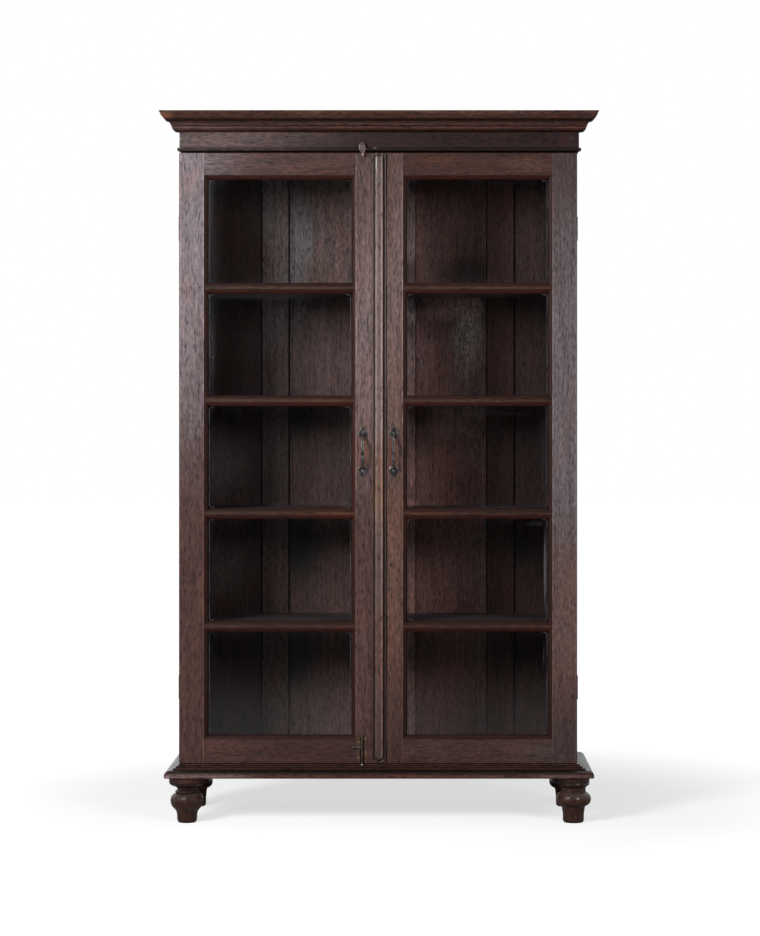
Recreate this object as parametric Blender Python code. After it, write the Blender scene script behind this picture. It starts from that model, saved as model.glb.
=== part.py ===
"""Glazed two-door cabinet on four turned legs, at its real size in metres.

The front faces -Y. The origin is on the floor, under the middle of the cabinet.
From the floor up the pieces are four legs, a moulded base frame, a case with
four shelves, and a crown with its cornice. Two glazed doors hang on the case
and cover its whole front. A wooden turn button holds the left door at the top
and a tower bolt holds it at the bottom.
"""

import math

import bmesh
import bpy
from mathutils import Matrix, Vector

# Gap between pieces that touch, with its share for each half of a mitred corner
CLEARANCE = 0.0003
MITRE_SHIFT = CLEARANCE / math.sqrt(2)

# Whole cabinet
TOTAL_HEIGHT = 1.900
FACE_TO_BACK = 0.360

# Legs
LEG_HEIGHT = 0.123
LEG_INSET_X = 0.0547
LEG_INSET_Y = 0.055
FRONT_LEG_SHIFT = 0.0025
LEG_SIDES = 24
FRONT_BALL_DROP = 0.05

# Base frame
BASE_HEIGHT = 0.035
BASE_EXTRA_WIDTH = 0.001
BASE_PROJECTION = 0.039
BASE_MEMBER = 0.080
STEP_COUNT = 3
STEP_RISE = 0.005
STEP_LEDGE = 0.003
NOSE_REACH = 0.015
NOSE_ROUND = 0.012
NOSE_EDGE_ROUND = 0.0025

# Case
CASE_WIDTH = 1.066
CASE_OFFSET = -0.003
SIDE_THICKNESS = 0.022
BOARD_THICKNESS = 0.018
SHELF_THICKNESS = 0.020
SHELF_SETBACK = 0.003
SHELF_ABOVE_BAR = 0.011
SHELF_HOUSING = 0.006
BACK_THICKNESS = 0.012
BACK_JOINT = 0.0015
BACK_LAP = 0.006
BACK_BOARD_WIDTHS = (0.1768, 0.0788, 0.3561, 0.1985, 0.0789)

# Crown
CROWN_EXTRA_WIDTH = 0.003
CROWN_RETURN = 0.014
FRIEZE_THICKNESS = 0.026
FRIEZE_SHOWN = 0.0415
BEAD_HEIGHT = 0.0095
BEAD_PROJECTION = 0.006
TOP_BOARD_THICKNESS = 0.018
CORNICE_HEIGHT = 0.0525
CORNICE_PROJECTION = 0.050
CORNICE_FASCIA = 0.0115
CORNICE_FASCIA_TAPER = 0.0030
CORNICE_STEP = 0.0042
CORNICE_ROUND = 0.0125
CORNICE_COVE_HEIGHT = 0.014
CORNICE_COVE_DEPTH = 0.0105
CORNICE_LEDGE = 0.0037

# Doors
DOOR_THICKNESS = 0.026
DOOR_TOP_GAP = 0.005
DOOR_BOTTOM_GAP = 0.002
DOOR_INSET = 0.0005
HINGE_STILE = 0.066
MEETING_STILE_SHOWN = 0.044
TOP_RAIL = 0.0585
BOTTOM_RAIL = 0.063
MEETING_GAP = 0.002
PANES_PER_DOOR = 5
BAR_WEB = 0.0055
BAR_SETBACK = 0.0005

# Moulded edge round each pane, the glass and the beads that hold it
SASH_WIDTH = 0.0115
SASH_QUIRK = 0.0015
SASH_ROUND = 0.0105
SASH_LIP = 0.0010
GLASS_THICKNESS = 0.003
GLASS_EDGE_GAP = 0.001
GLAZING_BEAD_WIDTH = 0.0095
GLAZING_BEAD_SETBACK = 0.0005

# Astragal on the left door
ASTRAGAL_WIDTH = 0.038
ASTRAGAL_MARGIN = 0.0005
ASTRAGAL_EDGE = 0.003
ASTRAGAL_BEAD_RISE = 0.002
ASTRAGAL_BEAD_WIDTH = 0.0045
ASTRAGAL_GROOVE = 0.002
ASTRAGAL_REED_WIDTH = 0.021
ASTRAGAL_REED_RISE = 0.009
ASTRAGAL_TOP_ROUND = 0.006
ASTRAGAL_SMALLEST_ROUND = 0.0005

# Butt hinges
HINGE_LENGTH = 0.064
HINGE_LEAF_WIDTH = 0.018
HINGE_LEAF_THICKNESS = 0.001
HINGE_KNUCKLE_RADIUS = 0.0028
HINGE_BORE_RADIUS = 0.0017
HINGE_PIN_RADIUS = 0.0014
HINGE_AXIS_OUT = 0.0005
HINGE_END_DISTANCE = 0.200
HINGE_GAIN = 0.0006
HINGES_PER_DOOR = 2
KNUCKLES_PER_HINGE = 3

# Handles
HANDLE_CENTRES = 0.1018
HANDLE_ABOVE_DOOR_BOTTOM = 0.832
LEFT_HANDLE_FROM_GLASS = 0.019
RIGHT_HANDLE_FROM_GLASS = 0.024
HANDLE_PROJECTION = 0.026
GRIP_MIDDLE_RADIUS = 0.0045
GRIP_END_RADIUS = 0.0033
GRIP_END_DISTANCE = 0.0078
ROSETTE_WIDTH = 0.0265
ROSETTE_HEIGHT = 0.031
ROSETTE_THICKNESS = 0.003
ROSETTE_LOBE = 0.16
ROSETTE_POINTS = 24

# Shares of a rosette's thickness and of its outline, from the back to the front
ROSETTE_STATIONS = ((0.0, 1.0), (0.67, 0.97), (1.0, 0.84))

# Tower bolt
BOLT_FROM_GLASS = 0.017
BOLT_ROD_RADIUS = 0.0035
BOLT_ROD_LENGTH = 0.0836
BOLT_ROD_BELOW_DOOR = 0.0078
BOLT_PLATE_WIDTH = 0.024
BOLT_PLATE_HEIGHT = 0.0580
BOLT_PLATE_THICKNESS = 0.0015
BOLT_PLATE_MARGIN = 0.001
BOLT_CREST_WIDTH = 0.0254
BOLT_CREST_HEIGHT = 0.0115
BOLT_GUIDE_WALL = 0.0014
BOLT_GUIDE_BACK = 0.0006
BOLT_BARREL_LENGTH = 0.0385
BOLT_STAPLE_LENGTH = 0.008
BOLT_STAPLE_ABOVE_PLATE = 0.0014
BOLT_KNOB_RADIUS = 0.0022
BOLT_KNOB_REACH = 0.024
BOLT_KNOB_END_RADIUS = 0.0032
BOLT_SOCKET_DEPTH = 0.0018

# Turn button
BUTTON_LENGTH = 0.0400
BUTTON_WIDTH = 0.0178
BUTTON_THICKNESS = 0.008
BUTTON_CHAMFER = 0.0018
BUTTON_PIVOT_FROM_END = 0.0066
BUTTON_PIVOT_ABOVE_BEAD = 0.0075
BUTTON_TILT = math.radians(-6)
BUTTON_BEAD_CLEARANCE = 0.0005
BUTTON_BOSS_RADIUS = 0.005
BUTTON_POINTS = 14

# Powers that set how near the nail the leaf is widest, and how full it is there
BUTTON_BULGE = 0.6
BUTTON_FULLNESS = 0.8

# Nail of the turn button
NAIL_RADIUS = 0.0013
NAIL_HEAD_RADIUS = 0.0020
NAIL_CROWN_RADIUS = 0.0014
NAIL_HEAD_THICKNESS = 0.0012
NAIL_DEPTH = 0.016

# Screws of the handles and of the bolt plate
SCREW_RADIUS = 0.0015
SCREW_HEAD_RADIUS = 0.0026
SCREW_HEAD_THICKNESS = 0.0012
SCREW_HEAD_SUNK = 0.0004
SCREW_DEPTH = 0.014
PLATE_SCREW_SCALE = 0.7

# Finishes: base colour, roughness and metallic value
OLD_WOOD = ((0.085, 0.050, 0.044), 0.42, 0.0)
DARK_WOOD = ((0.055, 0.030, 0.025), 0.50, 0.0)
INNER_WOOD = ((0.060, 0.036, 0.031), 0.60, 0.0)
OLD_GLASS = ((0.60, 0.66, 0.68), 0.05, 0.0)
DARK_IRON = ((0.045, 0.042, 0.042), 0.38, 0.9)
OLD_BRASS = ((0.240, 0.165, 0.090), 0.36, 1.0)

# Levels, from the floor up
BASE_TOP = LEG_HEIGHT + BASE_HEIGHT
CROWN_TOP = TOTAL_HEIGHT
CORNICE_BOTTOM = TOTAL_HEIGHT - CORNICE_HEIGHT
BEAD_TOP = CORNICE_BOTTOM - FRIEZE_SHOWN
CROWN_BOTTOM = BEAD_TOP - BEAD_HEIGHT
CASE_BOTTOM = BASE_TOP + CLEARANCE
CASE_TOP = CROWN_BOTTOM - CLEARANCE
DOOR_BOTTOM = BASE_TOP + DOOR_BOTTOM_GAP
DOOR_TOP = CROWN_BOTTOM - DOOR_TOP_GAP
OPENING_BOTTOM = DOOR_BOTTOM + BOTTOM_RAIL
OPENING_TOP = DOOR_TOP - TOP_RAIL

# Planes, from the front to the back
OVERALL_DEPTH = FACE_TO_BACK + CORNICE_PROJECTION
FACE = CORNICE_PROJECTION - OVERALL_DEPTH / 2
BACK = OVERALL_DEPTH / 2
DOOR_REAR = FACE + DOOR_THICKNESS
LEAF_SPACE = 2 * HINGE_LEAF_THICKNESS + 3 * CLEARANCE
CASE_FRONT = DOOR_REAR + LEAF_SPACE
BACK_BOARD_FRONT = BACK - BACK_THICKNESS
HINGE_AXIS_Y = DOOR_REAR + LEAF_SPACE / 2

# Widths
CASE_LEFT = CASE_OFFSET - CASE_WIDTH / 2
CASE_RIGHT = CASE_OFFSET + CASE_WIDTH / 2
BASE_WIDTH = CASE_WIDTH + BASE_EXTRA_WIDTH
CROWN_WIDTH = CASE_WIDTH + CROWN_EXTRA_WIDTH
INNER_LEFT = CASE_LEFT + SIDE_THICKNESS
INNER_RIGHT = CASE_RIGHT - SIDE_THICKNESS
SASH_DEPTH = SASH_QUIRK + SASH_ROUND + SASH_LIP
MEETING_LINE = ASTRAGAL_WIDTH / 2 + ASTRAGAL_MARGIN + MEETING_GAP / 2


def clear_scene():
    """Remove whatever objects the scene holds."""
    for old in list(bpy.data.objects):
        bpy.data.objects.remove(old, do_unlink=True)


def finish_material(name, finish):
    """Make one piece's own material from its colour, roughness and metallic value."""
    colour, roughness, metallic = finish
    material = bpy.data.materials.new(name + "_finish")
    material.use_nodes = True
    shader = material.node_tree.nodes["Principled BSDF"]
    shader.inputs["Base Color"].default_value = (*colour, 1.0)
    shader.inputs["Roughness"].default_value = roughness
    shader.inputs["Metallic"].default_value = metallic
    return material


def add_object(name, shape, finish=None):
    """Turn a bmesh into a named object, shaded smooth over its round stretches."""
    bmesh.ops.recalc_face_normals(shape, faces=shape.faces)
    mesh = bpy.data.meshes.new(name)
    shape.to_mesh(mesh)
    shape.free()
    mesh.shade_smooth()
    mesh.set_sharp_from_angle(angle=math.radians(35))
    piece = bpy.data.objects.new(name, mesh)
    bpy.context.scene.collection.objects.link(piece)
    if finish:
        mesh.materials.append(finish_material(name, finish))
    return piece


def change_shape(target, tool_shape, operation):
    """Join a helper shape to a piece or cut it out of the piece."""
    tool = add_object(f"{target.name}_{operation.lower()}_{len(target.modifiers)}", tool_shape)
    tool.hide_render = True
    tool.display_type = "WIRE"
    change = target.modifiers.new(tool.name, "BOOLEAN")
    change.operation = operation
    change.solver = "EXACT"
    change.object = tool


def joint_empty(name, place):
    """Mark a joint's axis with an empty that carries the moving pieces."""
    empty = bpy.data.objects.new(name, None)
    empty.location = place
    bpy.context.scene.collection.objects.link(empty)
    return empty


def carry(empty, *pieces):
    """Parent pieces to a joint's empty and leave them where they are."""
    for piece in pieces:
        piece.parent = empty
        piece.matrix_parent_inverse = Matrix.Translation(-Vector(empty.location))


def arc(centre, radii, start, end, steps):
    """Points along an ellipse from one angle to another, in degrees."""
    points = []
    for step in range(steps + 1):
        angle = math.radians(start + (end - start) * step / steps)
        across = centre[0] + radii[0] * math.cos(angle)
        along = centre[1] + radii[1] * math.sin(angle)
        points.append((across, along))
    return points


def circle(centre, radius, count):
    """A ring of points round a centre."""
    return arc(centre, (radius, radius), 0, 360 - 360 / count, count - 1)


def add_box(shape, low, high):
    """Add a box between two corners."""
    size = [top - bottom for bottom, top in zip(low, high)]
    middle = [(top + bottom) / 2 for bottom, top in zip(low, high)]
    place = Matrix.Translation(middle) @ Matrix.Diagonal((*size, 1.0))
    bmesh.ops.create_cube(shape, size=1.0, matrix=place)


def add_loft(shape, rings):
    """Add a closed solid through rings that have the same number of points."""
    loops = [[shape.verts.new(point) for point in ring] for ring in rings]
    count = len(loops[0])
    for lower, upper in zip(loops, loops[1:]):
        for index in range(count):
            following = (index + 1) % count
            corners = (lower[index], lower[following], upper[following], upper[index])
            shape.faces.new(corners)
    shape.faces.new(loops[0][::-1])
    shape.faces.new(loops[-1])


def add_turned(shape, outline, centre, sides):
    """Spin a (radius, height) outline about the vertical through centre."""
    verts = [shape.verts.new((centre[0] + r, centre[1], z)) for r, z in outline]
    edges = [shape.edges.new(pair) for pair in zip(verts, verts[1:])]
    bmesh.ops.spin(
        shape,
        geom=verts + edges,
        cent=(*centre, 0.0),
        axis=(0.0, 0.0, 1.0),
        angle=math.tau,
        steps=sides,
        use_merge=True,
    )
    bmesh.ops.remove_doubles(shape, verts=shape.verts, dist=0.00001)


def add_cylinder(shape, start, end, radius, sides=12):
    """Add a cylinder between two points."""
    axis = Vector(end) - Vector(start)
    middle = (Vector(end) + Vector(start)) / 2
    turn = Vector((0.0, 0.0, 1.0)).rotation_difference(axis).to_matrix().to_4x4()
    bmesh.ops.create_cone(
        shape,
        cap_ends=True,
        segments=sides,
        radius1=radius,
        radius2=radius,
        depth=axis.length,
        matrix=Matrix.Translation(middle) @ turn,
    )


def box_piece(name, low, high, finish):
    """Make a plain board."""
    shape = bmesh.new()
    add_box(shape, low, high)
    return add_object(name, shape, finish)


# Moulding runs round the front and the two sides


def front_run(shape, profile, width):
    """Run a (projection, height) profile along the front, mitred at both ends."""
    rings = []
    for side in (-1, 1):
        ring = []
        for projection, height in profile:
            reach = width / 2 + projection - MITRE_SHIFT
            ring.append((side * reach, FACE - projection, height))
        rings.append(ring)
    add_loft(shape, rings)


def side_run(shape, profile, width, side, rear):
    """Run a profile along one side, mitred at the front and cut square at a plane."""
    mitre = []
    square = []
    for projection, height in profile:
        reach = side * (width / 2 + projection)
        mitre.append((reach, FACE - projection + MITRE_SHIFT, height))
        square.append((reach, rear, height))
    add_loft(shape, [mitre, square])


def moulding_set(name, profile, width, finish, rear=BACK):
    """Make the front, left and right runs of one moulding."""
    front = bmesh.new()
    front_run(front, profile, width)
    pieces = [add_object(name + "_front", front, finish)]
    for side, word in ((-1, "_left"), (1, "_right")):
        shape = bmesh.new()
        side_run(shape, profile, width, side, rear)
        pieces.append(add_object(name + word, shape, finish))
    return pieces


def base_profile():
    """Base moulding: three steps over a thumb-shaped nose."""
    points = [(BASE_PROJECTION - BASE_MEMBER, LEG_HEIGHT)]
    points.append((BASE_PROJECTION - BASE_MEMBER, BASE_TOP))
    nose_start = BASE_PROJECTION - NOSE_REACH
    tread = (nose_start - STEP_LEDGE) / STEP_COUNT
    for step in range(STEP_COUNT):
        edge = STEP_LEDGE + step * tread
        points.append((edge, BASE_TOP - step * STEP_RISE))
        points.append((edge, BASE_TOP - (step + 1) * STEP_RISE))
    nose_top = BASE_TOP - STEP_COUNT * STEP_RISE
    nose_middle = (nose_start, nose_top - NOSE_ROUND)
    points += arc(nose_middle, (NOSE_REACH, NOSE_ROUND), 90, 0, 6)
    points.append((BASE_PROJECTION, LEG_HEIGHT + NOSE_EDGE_ROUND))
    points.append((BASE_PROJECTION - NOSE_EDGE_ROUND, LEG_HEIGHT))
    return points


def frieze_profile():
    """Frieze board with a half-round bead along its lower edge."""
    top = CROWN_TOP - TOP_BOARD_THICKNESS - CLEARANCE
    middle = (0.0, CROWN_BOTTOM + BEAD_HEIGHT / 2)
    points = [(-FRIEZE_THICKNESS, top), (-FRIEZE_THICKNESS, CROWN_BOTTOM)]
    points += arc(middle, (BEAD_PROJECTION, BEAD_HEIGHT / 2), -90, 90, 8)
    points.append((0.0, top))
    return points


def cornice_profile():
    """Cornice: fascia, quarter round over a cove, and a round foot."""
    fascia_bottom = CROWN_TOP - CORNICE_FASCIA
    round_edge = CORNICE_PROJECTION - CORNICE_FASCIA_TAPER - CORNICE_STEP
    round_start = round_edge - CORNICE_ROUND
    round_bottom = fascia_bottom - CORNICE_ROUND
    cove_bottom = round_bottom - CORNICE_COVE_HEIGHT
    foot_edge = round_start - CORNICE_COVE_DEPTH - CORNICE_LEDGE
    foot_radii = (foot_edge - CORNICE_LEDGE, cove_bottom - CORNICE_BOTTOM)
    points = [(CLEARANCE, CROWN_TOP), (CORNICE_PROJECTION, CROWN_TOP)]
    points.append((CORNICE_PROJECTION - CORNICE_FASCIA_TAPER, fascia_bottom))
    points += arc((round_start, fascia_bottom), (CORNICE_ROUND, CORNICE_ROUND), 0, -90, 5)
    cove_radii = (CORNICE_COVE_DEPTH, CORNICE_COVE_HEIGHT)
    points += arc((round_start, cove_bottom), cove_radii, 90, 180, 5)
    points += arc((CORNICE_LEDGE, cove_bottom), foot_radii, 0, -90, 5)
    points.append((CLEARANCE, CORNICE_BOTTOM))
    return points


# Legs


def vase_leg_outline():
    """Left front leg in shares of its height: cushion cap, bead, full vase, plain foot."""
    points = [(0.0, 1.0), (0.395, 1.0)]
    points += arc((0.293, 0.880), (0.102, 0.077), 0, -60, 3)
    points += arc((0.342, 0.721), (0.128, 0.082), 100, 180, 3)
    points += arc((0.220, 0.674), (0.045, 0.027), 80, -80, 4)
    points += arc((0.212, 0.477), (0.153, 0.171), 76, 0, 4)
    points += arc((0.212, 0.477), (0.153, 0.196), -20, -62, 2)
    points += arc((0.310, 0.163), (0.087, 0.139), 120, 180, 3)
    points += [(0.214, 0.041), (0.186, 0.0), (0.0, 0.0)]
    return points


def ball_leg_outline(drop):
    """Other legs in shares of their height: ringed cap, neck, ball, slim straight foot.

    drop is how much lower than on the rear legs the ring, the neck and the ball sit.
    """
    ball = 0.553 - drop
    points = [(0.0, 1.0), (0.354, 1.0), (0.352, 0.935 - drop), (0.342, 0.914 - drop)]
    points += arc((0.316, 0.888 - drop), (0.040, 0.024), 30, -50, 3)
    points += arc((0.345, 0.792 - drop), (0.0785, 0.060), 120, 180, 2)
    points += arc((0.245, ball), (0.1416, 0.160), 79, 0, 5)
    points += arc((0.245, ball), (0.1416, 0.142), -25, -80, 4)
    points += [(0.253, ball - 0.175), (0.246, ball - 0.223), (0.234, 0.205), (0.230, 0.130)]
    points += [(0.232, 0.070), (0.227, 0.030), (0.204, 0.0), (0.0, 0.0)]
    return points


def make_leg(name, x, y, outline):
    """Turn one leg and stand it on the floor."""
    height = LEG_HEIGHT - CLEARANCE
    shape = bmesh.new()
    add_turned(shape, [(r * height, z * height) for r, z in outline], (x, y), LEG_SIDES)
    add_object(name, shape, DARK_WOOD)


def make_legs():
    """Stand a leg under each corner of the base frame."""
    leg_x = BASE_WIDTH / 2 + BASE_PROJECTION - LEG_INSET_X
    front_y = FACE - BASE_PROJECTION + LEG_INSET_Y
    rear_y = BACK - LEG_INSET_Y
    make_leg("leg_front_left", FRONT_LEG_SHIFT - leg_x, front_y, vase_leg_outline())
    dropped = ball_leg_outline(FRONT_BALL_DROP)
    make_leg("leg_front_right", FRONT_LEG_SHIFT + leg_x, front_y, dropped)
    make_leg("leg_rear_left", -leg_x, rear_y, ball_leg_outline(0.0))
    make_leg("leg_rear_right", leg_x, rear_y, ball_leg_outline(0.0))


# Base, case and crown


def bolt_axis():
    """Place of the tower bolt's rod, seen from above."""
    opening_edge = -(ASTRAGAL_WIDTH / 2 + MEETING_STILE_SHOWN)
    standoff = BOLT_PLATE_THICKNESS + BOLT_GUIDE_BACK + BOLT_ROD_RADIUS + 2 * CLEARANCE
    return opening_edge + BOLT_FROM_GLASS, FACE - standoff


def make_base():
    """Make the moulded base frame, its rear rail and the socket of the bolt."""
    mouldings = moulding_set("base_moulding", base_profile(), BASE_WIDTH, DARK_WOOD)
    x, y = bolt_axis()
    socket_bottom = DOOR_BOTTOM - BOLT_ROD_BELOW_DOOR - BOLT_SOCKET_DEPTH
    socket = bmesh.new()
    start = (x, y, socket_bottom)
    end = (x, y, BASE_TOP + BOLT_SOCKET_DEPTH)
    add_cylinder(socket, start, end, BOLT_ROD_RADIUS + 2 * CLEARANCE, 16)
    change_shape(mouldings[0], socket, "DIFFERENCE")
    inner = BASE_WIDTH / 2 + BASE_PROJECTION - BASE_MEMBER - CLEARANCE
    low = (-inner, BACK - BASE_MEMBER / 2, LEG_HEIGHT)
    box_piece("base_rear_rail", low, (inner, BACK, BASE_TOP), DARK_WOOD)


def bar_heights():
    """Heights of the middles of a door's glazing bars, lowest first."""
    pitch = (OPENING_TOP - OPENING_BOTTOM) / PANES_PER_DOOR
    return [OPENING_BOTTOM + pitch * number for number in range(1, PANES_PER_DOOR)]


def hinge_heights():
    """Heights of the middles of a door's hinges, lowest first."""
    lowest = DOOR_BOTTOM + HINGE_END_DISTANCE
    highest = DOOR_TOP - HINGE_END_DISTANCE
    step = (highest - lowest) / (HINGES_PER_DOOR - 1)
    return [lowest + step * number for number in range(HINGES_PER_DOOR)]


def hinge_axis_x(side):
    """Sideways place of the hinge axis, with side -1 on the left and 1 on the right."""
    return CASE_OFFSET + side * (CASE_WIDTH / 2 + HINGE_AXIS_OUT)


def hinge_gains(side):
    """Round pockets that clear the knuckles of one door's hinges."""
    shape = bmesh.new()
    x = hinge_axis_x(side)
    half = HINGE_LENGTH / 2 + HINGE_GAIN
    for z in hinge_heights():
        start = (x, HINGE_AXIS_Y, z - half)
        end = (x, HINGE_AXIS_Y, z + half)
        add_cylinder(shape, start, end, HINGE_KNUCKLE_RADIUS + HINGE_GAIN, 16)
    return shape


def shelf_levels():
    """Undersides of the shelves, lowest first."""
    return [height + SHELF_ABOVE_BAR - SHELF_THICKNESS for height in bar_heights()]


def shelf_housings(side):
    """Grooves in one side of the case for the shelf ends, stopped short of the front."""
    shape = bmesh.new()
    inner = INNER_LEFT if side < 0 else INNER_RIGHT
    ends = (inner + side * SHELF_HOUSING, inner - side * SHELF_HOUSING)
    front = CASE_FRONT + SHELF_SETBACK - CLEARANCE
    for bottom in shelf_levels():
        low = (min(ends), front, bottom - CLEARANCE)
        high = (max(ends), BACK_BOARD_FRONT, bottom + SHELF_THICKNESS + CLEARANCE)
        add_box(shape, low, high)
    return shape


def make_sides():
    """Make the two sides of the case, with their shelf grooves and hinge pockets."""
    walls = ((-1, "side_left", CASE_LEFT), (1, "side_right", CASE_RIGHT - SIDE_THICKNESS))
    for side, name, x in walls:
        low = (x, CASE_FRONT, CASE_BOTTOM)
        high = (x + SIDE_THICKNESS, BACK, CASE_TOP)
        wall = box_piece(name, low, high, OLD_WOOD)
        change_shape(wall, hinge_gains(side), "DIFFERENCE")
        change_shape(wall, shelf_housings(side), "DIFFERENCE")


def case_board(name, bottom, thickness, front, housing):
    """Make a level board between the sides, its ends let into them by a depth."""
    reach = housing - CLEARANCE
    low = (INNER_LEFT - reach, front, bottom)
    high = (INNER_RIGHT + reach, BACK_BOARD_FRONT - CLEARANCE, bottom + thickness)
    box_piece(name, low, high, INNER_WOOD)


def make_boards():
    """Make the floor, the ceiling and the shelves of the case."""
    top = CASE_TOP - BOARD_THICKNESS
    case_board("floor_board", CASE_BOTTOM, BOARD_THICKNESS, CASE_FRONT, 0.0)
    case_board("ceiling_board", top, BOARD_THICKNESS, CASE_FRONT, 0.0)
    front = CASE_FRONT + SHELF_SETBACK
    for number, bottom in enumerate(shelf_levels(), start=1):
        case_board(f"shelf_{number}", bottom, SHELF_THICKNESS, front, SHELF_HOUSING)


def back_outline(start, end):
    """Back board seen from above, with a tongue behind the board on its right."""
    first = start == INNER_LEFT
    last = end == INNER_RIGHT
    left = start + (CLEARANCE if first else BACK_JOINT / 2)
    right = end - (CLEARANCE if last else BACK_JOINT / 2)
    left_rear = left if first else left + BACK_LAP
    right_rear = right if last else right + BACK_LAP
    middle = (BACK_BOARD_FRONT + BACK) / 2
    points = [(left, BACK_BOARD_FRONT), (right, BACK_BOARD_FRONT)]
    if not last:
        points += [(right, middle + CLEARANCE / 2), (right_rear, middle + CLEARANCE / 2)]
    points += [(right_rear, BACK), (left_rear, BACK)]
    if not first:
        points += [(left_rear, middle - CLEARANCE / 2), (left, middle - CLEARANCE / 2)]
    return points


def make_back():
    """Make the upright back boards, the last one as wide as what is left."""
    edges = [INNER_LEFT]
    for width in BACK_BOARD_WIDTHS:
        edges.append(edges[-1] + width)
    edges.append(INNER_RIGHT)
    for number, (start, end) in enumerate(zip(edges, edges[1:]), start=1):
        outline = back_outline(start, end)
        shape = bmesh.new()
        add_loft(shape, [[(x, y, z) for x, y in outline] for z in (CASE_BOTTOM, CASE_TOP)])
        add_object(f"back_board_{number}", shape, INNER_WOOD)


def bead_stop(side):
    """Box that ends the bead on one side a short way behind the front."""
    edges = (side * CROWN_WIDTH / 2, side * (CROWN_WIDTH / 2 + 2 * BEAD_PROJECTION))
    low = (min(edges), FACE + CROWN_RETURN, CROWN_BOTTOM - BEAD_HEIGHT)
    high = (max(edges), BACK + BEAD_HEIGHT, BEAD_TOP + BEAD_HEIGHT)
    shape = bmesh.new()
    add_box(shape, low, high)
    return shape


def make_crown():
    """Make the frieze frame, the cornice with its short returns and the board on top."""
    frieze, *frieze_sides = moulding_set("frieze", frieze_profile(), CROWN_WIDTH, OLD_WOOD)
    for side, board in zip((-1, 1), frieze_sides):
        change_shape(board, bead_stop(side), "DIFFERENCE")
    x, z = button_pivot()
    hole = bmesh.new()
    start = (x, FACE - NAIL_DEPTH, z)
    add_cylinder(hole, start, (x, FACE + NAIL_DEPTH, z), NAIL_RADIUS + CLEARANCE)
    change_shape(frieze, hole, "DIFFERENCE")
    rear = FACE + CROWN_RETURN
    moulding_set("cornice", cornice_profile(), CROWN_WIDTH, DARK_WOOD, rear)
    inner = CROWN_WIDTH / 2 - FRIEZE_THICKNESS - CLEARANCE
    frieze_top = CROWN_TOP - TOP_BOARD_THICKNESS - CLEARANCE
    low = (-inner, BACK - BACK_THICKNESS, CROWN_BOTTOM)
    box_piece("frieze_rear", low, (inner, BACK, frieze_top), INNER_WOOD)
    low = (-CROWN_WIDTH / 2, FACE, CROWN_TOP - TOP_BOARD_THICKNESS)
    box_piece("top_board", low, (CROWN_WIDTH / 2, BACK, CROWN_TOP), DARK_WOOD)


# Door frames and glazing


class Door:
    """Edges of one door, with side -1 for the left door and 1 for the right one."""

    def __init__(self, name, side):
        self.name = name
        self.side = side
        self.outer = CASE_OFFSET + side * (CASE_WIDTH / 2 - DOOR_INSET)
        self.meeting = MEETING_LINE + side * MEETING_GAP / 2
        self.near = side * (ASTRAGAL_WIDTH / 2 + MEETING_STILE_SHOWN)
        self.far = self.outer - side * HINGE_STILE

    def opening(self):
        """Left and right edges of the glazed opening."""
        return min(self.near, self.far), max(self.near, self.far)

    def panes(self):
        """Left, right, bottom and top edges of each pane's opening, lowest first."""
        left, right = self.opening()
        bars = bar_heights()
        bottoms = [OPENING_BOTTOM] + [bar + BAR_WEB / 2 for bar in bars]
        tops = [bar - BAR_WEB / 2 for bar in bars] + [OPENING_TOP]
        return [(left, right, bottom, top) for bottom, top in zip(bottoms, tops)]


def pane_rings(pane):
    """Rings of the moulded hole for one pane, narrowing from the face inwards."""
    left, right, bottom, top = pane
    round_middle = (0.0, SASH_QUIRK + SASH_ROUND)
    outline = [(0.0, -SASH_QUIRK)]
    outline += arc(round_middle, (SASH_WIDTH, SASH_ROUND), -90, 0, 4)
    outline.append((SASH_WIDTH, SASH_DEPTH + SASH_LIP))
    rings = []
    for inward, depth in outline:
        corners = ((left + inward, bottom + inward), (right - inward, bottom + inward))
        corners += ((right - inward, top - inward), (left + inward, top - inward))
        rings.append([(x, FACE + depth, z) for x, z in corners])
    return rings


def make_grid(door):
    """Make the moulded grid of glazing bars that fills a door's opening."""
    left, right = door.opening()
    low = (left + CLEARANCE, FACE + BAR_SETBACK, OPENING_BOTTOM + CLEARANCE)
    high = (right - CLEARANCE, FACE + SASH_DEPTH, OPENING_TOP - CLEARANCE)
    grid = box_piece(door.name + "_glazing_bars", low, high, OLD_WOOD)
    holes = bmesh.new()
    for pane in door.panes():
        add_loft(holes, pane_rings(pane))
    change_shape(grid, holes, "DIFFERENCE")
    return grid


def make_glass(door):
    """Make the sheet of glass behind the glazing bars."""
    left, right = door.opening()
    front = FACE + SASH_DEPTH + CLEARANCE
    low = (left + GLASS_EDGE_GAP, front, OPENING_BOTTOM + GLASS_EDGE_GAP)
    high = (right - GLASS_EDGE_GAP, front + GLASS_THICKNESS, OPENING_TOP - GLASS_EDGE_GAP)
    return box_piece(door.name + "_glass", low, high, OLD_GLASS)


def make_glazing_beads(door):
    """Make the frame of wooden beads that holds the glass from behind."""
    left, right = door.opening()
    front = FACE + SASH_DEPTH + GLASS_THICKNESS + 2 * CLEARANCE
    rear = DOOR_REAR - GLAZING_BEAD_SETBACK
    low = (left + CLEARANCE, front, OPENING_BOTTOM + CLEARANCE)
    high = (right - CLEARANCE, rear, OPENING_TOP - CLEARANCE)
    beads = box_piece(door.name + "_glazing_beads", low, high, INNER_WOOD)
    width = GLAZING_BEAD_WIDTH
    hole = bmesh.new()
    low = (left + width, front - GLASS_THICKNESS, OPENING_BOTTOM + width)
    high = (right - width, rear + GLASS_THICKNESS, OPENING_TOP - width)
    add_box(hole, low, high)
    change_shape(beads, hole, "DIFFERENCE")
    return beads


# Hinges


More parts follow.
